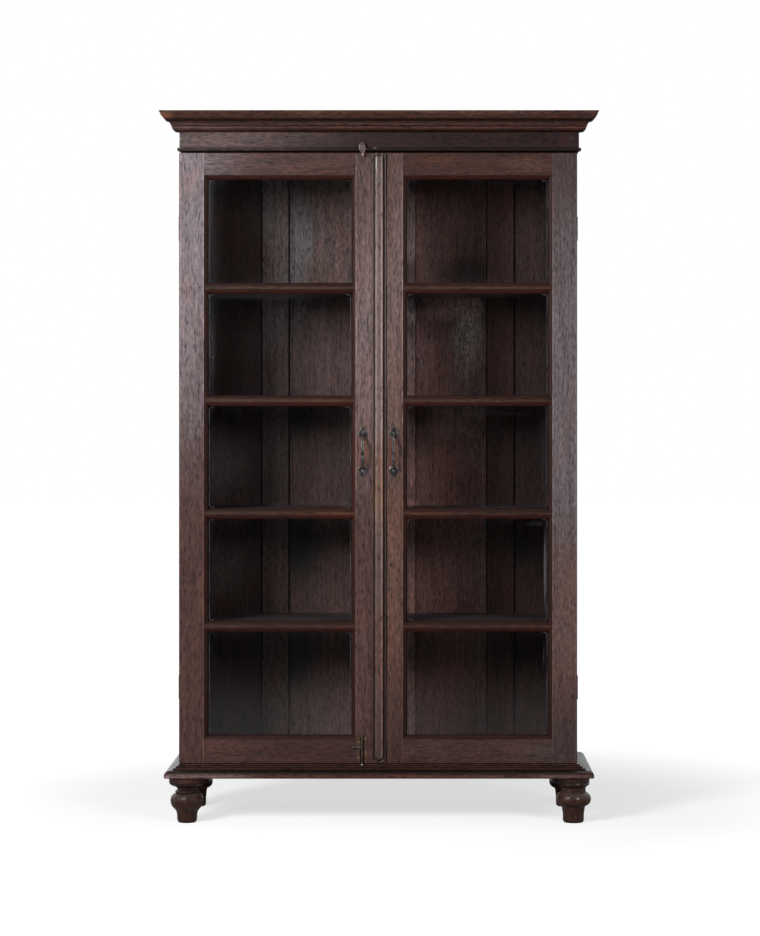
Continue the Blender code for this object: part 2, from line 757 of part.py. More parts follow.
def keyhole(side, flip):
    """Outline of a knuckle with a tab to its leaf, about the hinge axis.

    side is -1 for the left door; flip is -1 for the leaf on the door and 1 for
    the leaf on the case.
    """
    inner = math.asin(CLEARANCE / 2 / HINGE_KNUCKLE_RADIUS)
    outer = math.asin((CLEARANCE / 2 + HINGE_LEAF_THICKNESS) / HINGE_KNUCKLE_RADIUS)
    reach = HINGE_KNUCKLE_RADIUS * 2
    points = [(reach, CLEARANCE / 2 + HINGE_LEAF_THICKNESS)]
    radii = (HINGE_KNUCKLE_RADIUS, HINGE_KNUCKLE_RADIUS)
    points += arc((0.0, 0.0), radii, math.degrees(outer), 360 + math.degrees(inner), 12)
    points.append((reach, CLEARANCE / 2))
    return [(-side * across, flip * along) for across, along in points]


def make_leaf(name, side, height, flip, own_knuckles):
    """Make one hinge leaf with its knuckles, on the door or on the case."""
    axis_x = hinge_axis_x(side)
    knuckle = HINGE_LENGTH / KNUCKLES_PER_HINGE
    bottom = height - HINGE_LENGTH / 2
    edges = (axis_x - side * (HINGE_KNUCKLE_RADIUS + HINGE_GAIN), axis_x - side * HINGE_LEAF_WIDTH)
    inner = HINGE_AXIS_Y + flip * CLEARANCE / 2
    faces = (inner, inner + flip * HINGE_LEAF_THICKNESS)
    low = (min(edges), min(faces), bottom)
    high = (max(edges), max(faces), bottom + HINGE_LENGTH)
    leaf = box_piece(name, low, high, DARK_IRON)
    outline = [(axis_x + x, HINGE_AXIS_Y + y) for x, y in keyhole(side, flip)]
    knuckles = bmesh.new()
    for number in own_knuckles:
        start = bottom + number * knuckle + CLEARANCE / 2
        end = bottom + (number + 1) * knuckle - CLEARANCE / 2
        add_loft(knuckles, [[(x, y, z) for x, y in outline] for z in (start, end)])
    change_shape(leaf, knuckles, "UNION")
    return leaf


def make_hinges(side, word):
    """Make one door's hinges and return the leaves that move with the door.

    The case leaf holds the pin, which runs through the knuckle of the door leaf.
    """
    x = hinge_axis_x(side)
    case_knuckles = range(0, KNUCKLES_PER_HINGE, 2)
    door_knuckles = range(1, KNUCKLES_PER_HINGE, 2)
    door_leaves = []
    for number, height in enumerate(hinge_heights(), start=1):
        name = f"{word}_hinge_{number}"
        reach = HINGE_LENGTH / 2 - HINGE_GAIN
        ends = ((x, HINGE_AXIS_Y, height - reach), (x, HINGE_AXIS_Y, height + reach))
        case_leaf = make_leaf(name + "_case_leaf", side, height, 1, case_knuckles)
        pin = bmesh.new()
        add_cylinder(pin, *ends, HINGE_PIN_RADIUS)
        change_shape(case_leaf, pin, "UNION")
        door_leaf = make_leaf(name + "_door_leaf", side, height, -1, door_knuckles)
        bore = bmesh.new()
        add_cylinder(bore, *ends, HINGE_BORE_RADIUS)
        change_shape(door_leaf, bore, "DIFFERENCE")
        door_leaves.append(door_leaf)
    return door_leaves


# Fittings on the doors


def screws(places, front, scale=1.0):
    """Dome-headed screws at (x, z) places, driven into the door from a plane."""
    shape = bmesh.new()
    radius = SCREW_RADIUS * scale
    head = SCREW_HEAD_RADIUS * scale
    dome = front - SCREW_HEAD_THICKNESS
    tail = FACE + SCREW_DEPTH - CLEARANCE
    stations = ((tail, radius), (front, radius), (front, head))
    stations += (((front + dome) / 2, head), (dome, head / 2))
    for x, z in places:
        rings = []
        for y, ring_radius in stations:
            ring = circle((x, z), ring_radius, 12)
            rings.append([(across, y, along) for across, along in ring])
        add_loft(shape, rings)
    return shape


def screw_holes(places, scale=1.0):
    """Holes for the same screws in the door's wood."""
    shape = bmesh.new()
    radius = SCREW_RADIUS * scale + CLEARANCE
    for x, z in places:
        start = (x, FACE - SCREW_HEAD_THICKNESS, z)
        add_cylinder(shape, start, (x, FACE + SCREW_DEPTH, z), radius)
    return shape


def rosette_rings(x, z, upward):
    """Rings of a three-lobed rosette, with its single lobe up or down."""
    rings = []
    tallest = ROSETTE_HEIGHT / (2 + ROSETTE_LOBE / 4)
    widest = ROSETTE_WIDTH / (2 + ROSETTE_LOBE)
    for rise, share in ROSETTE_STATIONS:
        y = FACE - CLEARANCE - ROSETTE_THICKNESS * rise
        ring = []
        for point in range(ROSETTE_POINTS):
            angle = math.tau * point / ROSETTE_POINTS
            swell = 1 + ROSETTE_LOBE * math.cos(3 * (angle - math.pi / 2))
            across = share * widest * swell * math.cos(angle)
            along = share * tallest * swell * math.sin(angle)
            ring.append((x + across, y, z + upward * along))
        rings.append(ring)
    return rings


def grip_rings(x, z):
    """Rings of the bowed grip, thickest in the middle."""
    stations = 12
    sides = 10
    half = HANDLE_CENTRES / 2 - GRIP_END_DISTANCE
    seat = FACE - CLEARANCE - ROSETTE_THICKNESS / 2
    across = Vector((1.0, 0.0, 0.0))
    rings = []
    for station in range(stations + 1):
        angle = math.pi * (station / stations - 0.5)
        out = math.cos(angle)
        along = math.sin(angle)
        radius = GRIP_END_RADIUS + (GRIP_MIDDLE_RADIUS - GRIP_END_RADIUS) * out
        normal = Vector((0.0, -out * half, along * HANDLE_PROJECTION)).normalized()
        middle = Vector((x, seat - HANDLE_PROJECTION * out, z + half * along))
        ring = []
        for step in range(sides):
            turn = math.tau * step / sides
            offset = across * math.cos(turn) + normal * math.sin(turn)
            ring.append(middle + offset * radius)
        rings.append(ring)
    return rings


def make_handle(door, x, stile):
    """Make one bow handle with its rosettes and screws, and drill its stile."""
    z = DOOR_BOTTOM + HANDLE_ABOVE_DOOR_BOTTOM
    upper = z + HANDLE_CENTRES / 2
    lower = z - HANDLE_CENTRES / 2
    places = [(x, upper), (x, lower)]
    grip = bmesh.new()
    add_loft(grip, grip_rings(x, z))
    handle = add_object(door.name + "_handle", grip, DARK_IRON)
    rosettes = bmesh.new()
    add_loft(rosettes, rosette_rings(x, upper, 1))
    add_loft(rosettes, rosette_rings(x, lower, -1))
    change_shape(handle, rosettes, "UNION")
    front = FACE - CLEARANCE - ROSETTE_THICKNESS + SCREW_HEAD_SUNK
    change_shape(handle, screws(places, front), "UNION")
    change_shape(stile, screw_holes(places), "DIFFERENCE")
    return handle


def astragal_outline(inset):
    """Front view of the astragal drawn in by an inset: square-topped, round below."""
    half = ASTRAGAL_WIDTH / 2 - inset
    bottom_middle = DOOR_BOTTOM + ASTRAGAL_WIDTH / 2
    top = DOOR_TOP - inset
    corner = max(ASTRAGAL_TOP_ROUND - inset, ASTRAGAL_SMALLEST_ROUND)
    points = arc((0.0, bottom_middle), (half, half), 180, 360, 12)
    points += arc((half - corner, top - corner), (corner, corner), 0, 90, 3)
    points += arc((corner - half, top - corner), (corner, corner), 90, 180, 3)
    return points


def make_astragal():
    """Make the reeded strip that stands on the left door's meeting stile."""
    groove = CLEARANCE + ASTRAGAL_GROOVE
    bead_middle = (ASTRAGAL_BEAD_WIDTH / 2, CLEARANCE + ASTRAGAL_EDGE)
    bead_radii = (ASTRAGAL_BEAD_WIDTH / 2, ASTRAGAL_BEAD_RISE)
    reed_start = (ASTRAGAL_WIDTH - ASTRAGAL_REED_WIDTH) / 2
    reed_radii = (ASTRAGAL_REED_WIDTH / 2, ASTRAGAL_REED_RISE)
    stations = [(0.0, CLEARANCE)]
    stations += arc(bead_middle, bead_radii, 180, 0, 4)
    stations += [(ASTRAGAL_BEAD_WIDTH, groove), (reed_start, groove)]
    stations += arc((ASTRAGAL_WIDTH / 2, groove), reed_radii, 165, 105, 4)
    shape = bmesh.new()
    rings = []
    for inset, rise in stations:
        rings.append([(x, FACE - rise, z) for x, z in astragal_outline(inset)])
    add_loft(shape, rings)
    return add_object("astragal", shape, OLD_WOOD)


# Tower bolt


def guide_outline(x, y):
    """Outline of a bolt guide seen from above: square at the plate, round in front."""
    half = BOLT_ROD_RADIUS + CLEARANCE + BOLT_GUIDE_WALL
    seat = FACE - CLEARANCE - BOLT_PLATE_THICKNESS / 2
    points = [(x + half, seat), (x - half, seat)]
    points += arc((x, y), (half, half), 180, 360, 8)
    return points


def bolt_levels():
    """Bottom of the plate, top of the barrel and bottom of the staple."""
    bottom = DOOR_BOTTOM + BOLT_PLATE_MARGIN
    staple = bottom + BOLT_PLATE_HEIGHT + BOLT_STAPLE_ABOVE_PLATE
    return bottom, bottom + BOLT_BARREL_LENGTH, staple


def plate_outline(x, bottom):
    """Front view of the bolt plate: a rectangle under a crest of two round wings."""
    half = BOLT_PLATE_WIDTH / 2
    top = bottom + BOLT_PLATE_HEIGHT
    wing = (BOLT_CREST_WIDTH / 4, BOLT_CREST_HEIGHT / 2)
    middle = top + BOLT_CREST_HEIGHT / 2
    points = [(x - half, bottom), (x + half, bottom), (x + half, top)]
    points += arc((x + wing[0], middle), wing, -90, 120, 7)
    points += arc((x - wing[0], middle), wing, 60, 270, 7)
    points.append((x - half, top))
    return points


def make_bolt_plate(stile):
    """Make the bolt's crested plate with its barrel, staple and four screws."""
    x, y = bolt_axis()
    bottom, barrel_top, staple = bolt_levels()
    half = BOLT_PLATE_WIDTH / 2
    seat = FACE - CLEARANCE
    outline = plate_outline(x, bottom)
    shape = bmesh.new()
    faces = (seat, seat - BOLT_PLATE_THICKNESS)
    add_loft(shape, [[(px, py, pz) for px, pz in outline] for py in faces])
    plate = add_object("bolt_plate", shape, OLD_BRASS)
    guides = bmesh.new()
    outline = guide_outline(x, y)
    for start, end in ((bottom + CLEARANCE, barrel_top), (staple, staple + BOLT_STAPLE_LENGTH)):
        add_loft(guides, [[(px, py, pz) for px, py in outline] for pz in (start, end)])
    change_shape(plate, guides, "UNION")
    bore = bmesh.new()
    top = bottom + BOLT_PLATE_HEIGHT
    start = (x, y, bottom - BOLT_PLATE_MARGIN)
    end = (x, y, top + BOLT_CREST_HEIGHT + BOLT_PLATE_MARGIN)
    add_cylinder(bore, start, end, BOLT_ROD_RADIUS + CLEARANCE, 16)
    change_shape(plate, bore, "DIFFERENCE")
    edge = 2 * SCREW_HEAD_RADIUS * PLATE_SCREW_SCALE
    places = []
    for across in (edge - half, half - edge):
        places += [(x + across, bottom + edge), (x + across, top - edge)]
    front = seat - BOLT_PLATE_THICKNESS + SCREW_HEAD_SUNK
    change_shape(plate, screws(places, front, PLATE_SCREW_SCALE), "UNION")
    change_shape(stile, screw_holes(places, PLATE_SCREW_SCALE), "DIFFERENCE")
    return plate


def make_bolt_rod():
    """Make the sliding rod with its side knob, shot down into the base."""
    x, y = bolt_axis()
    bottom = DOOR_BOTTOM - BOLT_ROD_BELOW_DOOR
    top = bottom + BOLT_ROD_LENGTH
    dome = BOLT_ROD_RADIUS
    shape = bmesh.new()
    outline = [(0.0, top)] + arc((0.0, top - dome), (dome, dome), 60, 0, 3)
    outline += arc((0.0, bottom + dome), (dome, dome), 0, -60, 3) + [(0.0, bottom)]
    add_turned(shape, outline, (x, y), 16)
    rod = add_object("bolt_rod", shape, OLD_BRASS)
    barrel_top = bolt_levels()[1]
    height = barrel_top + CLEARANCE + BOLT_KNOB_END_RADIUS
    knob = bmesh.new()
    add_cylinder(knob, (x, y, height), (x - BOLT_KNOB_REACH, y, height), BOLT_KNOB_RADIUS, 10)
    change_shape(rod, knob, "UNION")
    end = bmesh.new()
    place = Matrix.Translation((x - BOLT_KNOB_REACH, y, height))
    bmesh.ops.create_icosphere(end, subdivisions=2, radius=BOLT_KNOB_END_RADIUS, matrix=place)
    change_shape(rod, end, "UNION")
    return rod


# Turn button


def button_pivot():
    """Place of the turn button's nail on the frieze."""
    return bolt_axis()[0], BEAD_TOP + BUTTON_PIVOT_ABOVE_BEAD


def button_outline(shrink):
    """Leaf outline of the turn button about its nail, drawn in for the chamfer."""
    length = BUTTON_LENGTH - 2 * shrink
    width = BUTTON_WIDTH - 2 * shrink
    top = BUTTON_PIVOT_FROM_END - shrink
    right = []
    left = []
    for point in range(1, BUTTON_POINTS):
        share = point / BUTTON_POINTS
        half = width / 2 * math.sin(math.pi * share**BUTTON_BULGE) ** BUTTON_FULLNESS
        z = top - length * share
        right.append((half, z))
        left.append((-half, z))
    return [(0.0, top), *right, (0.0, top - length), *reversed(left)]


def make_nail(x, z, head_plane):
    """Make the nail that the turn button turns on."""
    profile = ((FACE + NAIL_DEPTH - CLEARANCE, NAIL_RADIUS), (head_plane, NAIL_RADIUS))
    profile += ((head_plane, NAIL_HEAD_RADIUS),)
    profile += ((head_plane - NAIL_HEAD_THICKNESS, NAIL_CROWN_RADIUS),)
    rings = []
    for y, radius in profile:
        rings.append([(px, y, pz) for px, pz in circle((x, z), radius, 12)])
    nail = bmesh.new()
    add_loft(nail, rings)
    add_object("turn_button_nail", nail, DARK_IRON)


def make_turn_button():
    """Make the leaf-shaped button with the boss that stands it off the frieze."""
    x, z = button_pivot()
    standoff = BEAD_PROJECTION + BUTTON_BEAD_CLEARANCE
    rear = -standoff
    front = -(standoff + BUTTON_THICKNESS)
    shape = bmesh.new()
    rings = []
    for y, shrink in ((rear, 0.0), (front + BUTTON_CHAMFER, 0.0), (front, BUTTON_CHAMFER)):
        rings.append([(across, y, along) for across, along in button_outline(shrink)])
    add_loft(shape, rings)
    turn = Matrix.Rotation(BUTTON_TILT, 4, "Y")
    bmesh.ops.transform(shape, matrix=Matrix.Translation((x, FACE, z)) @ turn, verts=shape.verts)
    button = add_object("turn_button", shape, OLD_WOOD)
    boss = bmesh.new()
    boss_end = FACE - standoff - BUTTON_THICKNESS / 2
    add_cylinder(boss, (x, FACE - CLEARANCE, z), (x, boss_end, z), BUTTON_BOSS_RADIUS, 16)
    change_shape(button, boss, "UNION")
    hole = bmesh.new()
    add_cylinder(hole, (x, FACE, z), (x, FACE + 2 * front, z), NAIL_RADIUS + CLEARANCE)
    change_shape(button, hole, "DIFFERENCE")
    make_nail(x, z, FACE + front - CLEARANCE)
    carry(joint_empty("turn_button_axis", (x, FACE, z)), button)


# Doors


def door_board(name, edges, bottom, top):
    """Make one upright or level board of a door frame."""
    low = (min(edges), FACE, bottom)
    return box_piece(name, low, (max(edges), DOOR_REAR, top), OLD_WOOD)


def make_door(word, side, handle_from_glass):
    """Make one glazed door with its hinge leaves and handle, on its hinge axis."""
    name = word + "_door"
    door = Door(name, side)
    left, right = door.opening()
    width = (left + CLEARANCE, right - CLEARANCE)
    hinge_stile = door_board(name + "_hinge_stile", (door.outer, door.far), DOOR_BOTTOM, DOOR_TOP)
    change_shape(hinge_stile, hinge_gains(side), "DIFFERENCE")
    edges = (door.meeting, door.near)
    meeting_stile = door_board(name + "_meeting_stile", edges, DOOR_BOTTOM, DOOR_TOP)
    pieces = [hinge_stile, meeting_stile]
    pieces.append(door_board(name + "_top_rail", width, OPENING_TOP, DOOR_TOP))
    pieces.append(door_board(name + "_bottom_rail", width, DOOR_BOTTOM, OPENING_BOTTOM))
    pieces += [make_grid(door), make_glass(door), make_glazing_beads(door)]
    pieces += make_hinges(side, word)
    pieces.append(make_handle(door, door.near - side * handle_from_glass, meeting_stile))
    empty = joint_empty(name + "_axis", (hinge_axis_x(side), HINGE_AXIS_Y, DOOR_BOTTOM))
    carry(empty, *pieces)
    return empty, meeting_stile


def make_doors():
    """Make both doors, with the astragal and the bolt on the left one."""
    left_axis, meeting_stile = make_door("left", -1, LEFT_HANDLE_FROM_GLASS)
    make_door("right", 1, RIGHT_HANDLE_FROM_GLASS)
    carry(left_axis, make_astragal(), make_bolt_plate(meeting_stile))
    rod = make_bolt_rod()
    x, y = bolt_axis()
    slide = joint_empty("bolt_axis", (x, y, DOOR_BOTTOM))
    carry(left_axis, slide)
    carry(slide, rod)


clear_scene()
make_legs()
make_base()
make_sides()
make_boards()
make_back()
make_crown()
make_doors()
make_turn_button()
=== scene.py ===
import math
import random

import bpy
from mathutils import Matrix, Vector


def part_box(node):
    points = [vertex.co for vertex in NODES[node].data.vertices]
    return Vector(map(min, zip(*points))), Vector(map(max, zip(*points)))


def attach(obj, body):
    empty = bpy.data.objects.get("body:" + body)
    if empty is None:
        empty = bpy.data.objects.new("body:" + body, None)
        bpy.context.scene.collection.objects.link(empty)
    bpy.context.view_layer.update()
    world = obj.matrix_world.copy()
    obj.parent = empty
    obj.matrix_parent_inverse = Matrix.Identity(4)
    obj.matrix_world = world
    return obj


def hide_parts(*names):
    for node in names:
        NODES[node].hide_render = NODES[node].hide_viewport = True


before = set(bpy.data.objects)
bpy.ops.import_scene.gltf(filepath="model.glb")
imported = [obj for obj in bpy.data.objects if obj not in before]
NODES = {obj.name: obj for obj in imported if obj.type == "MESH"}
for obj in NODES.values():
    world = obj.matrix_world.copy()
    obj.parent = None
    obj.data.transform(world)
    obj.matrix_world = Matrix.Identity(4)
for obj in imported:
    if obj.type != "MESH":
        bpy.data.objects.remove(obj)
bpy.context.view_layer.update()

random.seed(7)

# Camera: place in metres, lens and sensor in millimetres, shift in sensor lengths
CAMERA_PLACE = (0.109, -6.785, 1.056)
CAMERA_LENS = 95.33
CAMERA_SENSOR = 36.0
CAMERA_SHIFT = (-0.0427, -0.0427)

# Lamps: soft key and weak sheen from the upper left, fill from the upper right; each with its
# place, target and size in metres, its power in watts and its colour
LAMPS = {
    "key": ((-2.4, -3.4, 2.3), (0.0, 0.0, 1.0), (1.1, 1.5), 108.0, (0.97, 0.98, 1.0)),
    "sheen": ((-1.1, -3.5, 1.9), (-0.3, 0.0, 1.3), (0.7, 1.2), 9.0, (0.95, 0.97, 1.0)),
    "fill": ((2.6, -3.8, 2.2), (0.1, 0.0, 0.9), (1.2, 1.2), 42.0, (0.98, 0.98, 1.0)),
}

# Floor: reach in metres, depths between which it turns from dark to pale with its greys there,
# and distances from the cabinet between which it turns white with its glow there
FLOOR_REACH = 30.0
FLOOR_TURN = (-4.4, -2.0)
FLOOR_GREYS = (0.03, 0.80)
FLOOR_FADE = (0.7, 1.9)
FLOOR_GLOW = (0.66, 1.0)

# Wall of the studio, in metres
WALL_PLACE = -5.0
WALL_HALF_WIDTH = 7.0
WALL_HEIGHT = 7.0

# Screen colours: their gamma, the grey that polish adds on the front and the darkest surface
SCREEN_GAMMA = 2.2
POLISH_GREY = 0.008
DARKEST = 0.002

# Colour factors that change nothing and that redden, and the screen colour of settled dust
PLAIN = (1.0, 1.0, 1.0)
REDDER = (1.22, 0.86, 0.74)
DUST_COLOUR = (200, 200, 204)

# Share of a spot's reach at which it begins to fade
SPOT_CORE = 0.15

# Depth of the fine relief of wood and metal, in metres
WOOD_RELIEF = 0.0008
METAL_RELIEF = 0.0004

# Largest angle between faces that still look smooth, in degrees
SMOOTH_ANGLE = 40

# Noises of the wood: fineness across and along the grain, detail, roughness and distortion
FIGURE = (26, 1.6, 5.0, 0.6, 0.9)
STREAKS = (150, 8, 3.0, 0.6, 0.3)
FLECKS = (215, 62, 2.0, 0.6, 0.2)
PORES = (260, 36, 2.0, 0.5, 0.0)
CLOUDS = (9, 4, 3.0, 0.6, 0.5)

# Door faces and glazing, in metres
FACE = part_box("left_door_top_rail")[0][1]
SASH_WIDTH = 0.0115
BAR_WEB = 0.0055
BAR_DEPTH = 0.012
PANES = 5

# Gap between a fine piece and the face that carries it, in metres
PIECE_GAP = 0.0001

# Fine line along the edge of each pane, in metres, and the steps round its corners
LINE_INSET = 0.0016
LINE_WIDTH = 0.0013
LINE_RISE = 0.0004
LINE_CORNER = 0.008
LINE_HOOK = 0.006
LINE_STEPS = 5

# Astragal outline: distance in from the edge and rise off the stile, in metres
ASTRAGAL_SECTION = (
    (0.0, 0.0003), (0.0, 0.0024), (0.0006, 0.0036), (0.0018, 0.0043), (0.0032, 0.0040),
    (0.0044, 0.0028), (0.0047, 0.0008), (0.0079, 0.0008), (0.0082, 0.0052), (0.0089, 0.0078),
    (0.0104, 0.0094), (0.0128, 0.0101), (0.0160, 0.0104), (0.0186, 0.0105),
)
ASTRAGAL_TOP_CORNER = 0.009
ASTRAGAL_FOOT_STEPS = 20
ASTRAGAL_CORNER_STEPS = 6

# Cornice outline: distance out from the frieze and height above its lower edge, in metres
CORNICE_SECTION = (
    (0.0003, 0.0525), (0.0500, 0.0525), (0.0497, 0.0508), (0.0486, 0.0476), (0.0466, 0.0468),
    (0.0460, 0.0446), (0.0468, 0.0438), (0.0458, 0.0412), (0.0440, 0.0404), (0.0426, 0.0378),
    (0.0405, 0.0350), (0.0380, 0.0320), (0.0350, 0.0298), (0.0312, 0.0284), (0.0272, 0.0280),
    (0.0262, 0.0262), (0.0236, 0.0216), (0.0214, 0.0172), (0.0204, 0.0152), (0.0168, 0.0146),
    (0.0166, 0.0130), (0.0188, 0.0126), (0.0190, 0.0112), (0.0172, 0.0066), (0.0134, 0.0028),
    (0.0086, 0.0006), (0.0003, 0.0),
)

# Peg ends on the door stiles: places across and up, radius, and the outline of the low dome
# as shares of the radius and heights
PEGS = {
    "left_door": ((-0.4806, 1.432), (-0.4857, 0.2308), (-0.0542, 1.4265)),
    "right_door": ((0.4728, 1.4377), (0.4741, 0.8270)),
}
PEG_RADIUS = 0.0019
PEG_SECTION = ((1.0, 0.0), (0.8, 0.0003), (0.3, 0.0005))
PEG_SIDES = 12

# Steps of the base moulding's top: their number and rise, the painted shade at the foot and the painted
# highlight on the edge of each, in metres
BASE_TREADS = 3
TREAD_RISE = 0.005
TREAD_SHADE = 0.0004
TREAD_HIGHLIGHT = 0.0014

# Grooves round the front legs, with painted shade in them and a painted highlight above each: levels in
# metres, and shares of the leg's height from a groove's middle down to where its painted shade begins and up
# to its painted highlight
GROOVE_REACH = (0.028, 0.022)
LEG_GROOVES = {"front_left": (0.1075, 0.1005, 0.0865), "front_right": (0.1113, 0.1045, 0.0510)}

# Colour factors across a stile, by distance in metres from its glazed and from its hinged side: a worn arris
# with a painted highlight and a painted dark line beside it on the glazed side, a lighter rubbed arris with
# painted shade at its outer edge on the hinged side
GLAZED_ARRIS = (
    (0.0, (1.9, 1.9, 1.9)), (0.0022, (1.9, 1.9, 1.9)), (0.0034, (0.62, 0.60, 0.60)), (0.0052, PLAIN),
)
HINGED_ARRIS = (
    (0.0062, PLAIN), (0.0046, (1.30, 1.26, 1.24)), (0.0024, (1.30, 1.26, 1.24)),
    (0.0012, (0.55, 0.50, 0.48)), (0.0, (0.55, 0.50, 0.48)),
)

# Brightness across the astragal, by share of its width, with painted highlights on its edges and painted
# shade in its grooves, and from its crest into its grooves, where it is painted shade
ASTRAGAL_LEVELS = (
    (0.0, 0.55), (0.06, 0.95), (0.12, 0.30), (0.20, 1.0), (0.25, 1.50), (0.34, 0.80), (0.60, 0.84),
    (0.66, 2.10), (0.73, 1.8), (0.78, 0.1), (0.86, 0.8), (0.93, 0.30), (1.0, 0.4),
)
GROOVE_LEVELS = ((0.0, 1.0), (0.62, 0.85), (1.0, 0.25))
GROOVE_SHADE = (0.0075, 0.0005)

# Woods of the front: base colour, grain axis and spots, among them painted grey sheen and painted
# highlights. Here and below, a spot has its place across and up, half width, half height, colour and
# strength
FRONT_WOODS = {
    "left_door_hinge_stile": (
        (84, 59, 54), "Z",
        # painted sheen: the first spot is a grey reflection painted high on the stile
        [(-0.50, 1.62, 0.40, 0.80, (132, 119, 122), 1.0), (-0.462, 1.0, 0.010, 0.30, (124, 82, 66), 0.5)],
    ),
    "left_door_meeting_stile": (
        (76, 55, 51), "Z",
        [
            (-0.04, 0.50, 0.40, 0.45, (92, 68, 64), 0.9),
            # painted sheen: a grey reflection painted on the upper stile
            (-0.04, 1.32, 0.40, 0.66, (120, 102, 100), 1.0),
            (-0.044, 0.995, 0.030, 0.10, (122, 82, 68), 0.7),
        ],
    ),
    "right_door_meeting_stile": (
        (76, 55, 50), "Z",
        [
            # painted sheen: a grey reflection painted on the upper stile
            (0.05, 1.36, 0.40, 0.66, (118, 99, 96), 1.0),
            (0.05, 0.64, 0.20, 0.46, (108, 80, 71), 0.9),
            (0.036, 0.995, 0.022, 0.085, (122, 76, 58), 0.8),
            (0.03, 0.80, 0.03, 0.14, (122, 88, 72), 0.5),
        ],
    ),
    "right_door_hinge_stile": (
        (76, 62, 60), "Z",
        # painted sheen: the first spot is a grey reflection painted at mid height
        [(0.50, 1.14, 0.40, 0.78, (112, 102, 104), 1.0), (0.50, 0.54, 0.20, 0.34, (106, 83, 77), 0.9)],
    ),
    "left_door_top_rail": (
        (80, 58, 53), "X",
        # painted sheen: the first spot is a grey reflection painted at the left end
        [(-0.50, 1.80, 0.24, 0.12, (118, 105, 107), 1.0), (-0.16, 1.742, 0.16, 0.02, (88, 58, 48), 0.6)],
    ),
    "right_door_top_rail": (
        (74, 50, 44), "X",
        [(0.16, 1.772, 0.09, 0.022, (88, 58, 44), 0.6), (0.40, 1.762, 0.10, 0.03, (96, 68, 58), 0.8)],
    ),
    "left_door_bottom_rail": ((72, 50, 47), "X", [(-0.46, 0.19, 0.22, 0.08, (86, 60, 54), 0.9)]),
    "right_door_bottom_rail": (
        (80, 58, 53), "X",
        [(0.42, 0.19, 0.12, 0.06, (82, 66, 63), 0.8), (0.10, 0.17, 0.06, 0.02, (58, 42, 40), 0.7)],
    ),
    # painted sheen: each side's spot is a grey reflection painted on its upper part
    "side_left": ((60, 46, 42), "Z", [(-0.5, 1.5, 0.6, 0.7, (96, 84, 84), 0.6)]),
    "side_right": ((52, 38, 35), "Z", [(0.5, 1.2, 0.6, 0.6, (84, 72, 71), 0.6)]),
    "astragal": (
        (80, 62, 57), "Z",
        [
            (0.0, 0.50, 0.40, 0.45, (106, 84, 78), 0.9),
            # painted sheen: a grey reflection painted over the middle and top
            (0.0, 1.28, 0.40, 0.86, (136, 116, 110), 1.0),
            (0.0, 0.90, 0.05, 0.16, (134, 100, 80), 0.7),
            # painted highlight: a pale line painted on the reed's left edge near the top
            (-0.0076, 1.765, 0.0016, 0.040, (214, 204, 204), 0.8),
        ],
    ),
    "turn_button": (
        (104, 90, 87), "Z",
        [
            # painted highlights: light painted on the button's left edge and lower tip
            (-0.0530, 1.803, 0.0022, 0.018, (176, 158, 155), 0.8),
            (-0.0440, 1.786, 0.004, 0.005, (216, 192, 188), 0.8),
        ],
    ),
}

# Glazing bars: depths in metres and colour factors where the pale nose, rubbed and with a painted highlight,
# ends and the flanks in painted shade begin, then the colour factors of the painted shade at their back and
# of the painted light on their undersides
BAR_NOSE = (0.0010, (1.35, 1.55, 1.70))
BAR_FLANK = (0.0022, (0.50, 0.27, 0.20))
BAR_DEEP_SHADE = (0.26, 0.13, 0.10)
BAR_UNDERSIDE_LIGHT = (2.1, 1.25, 0.95)

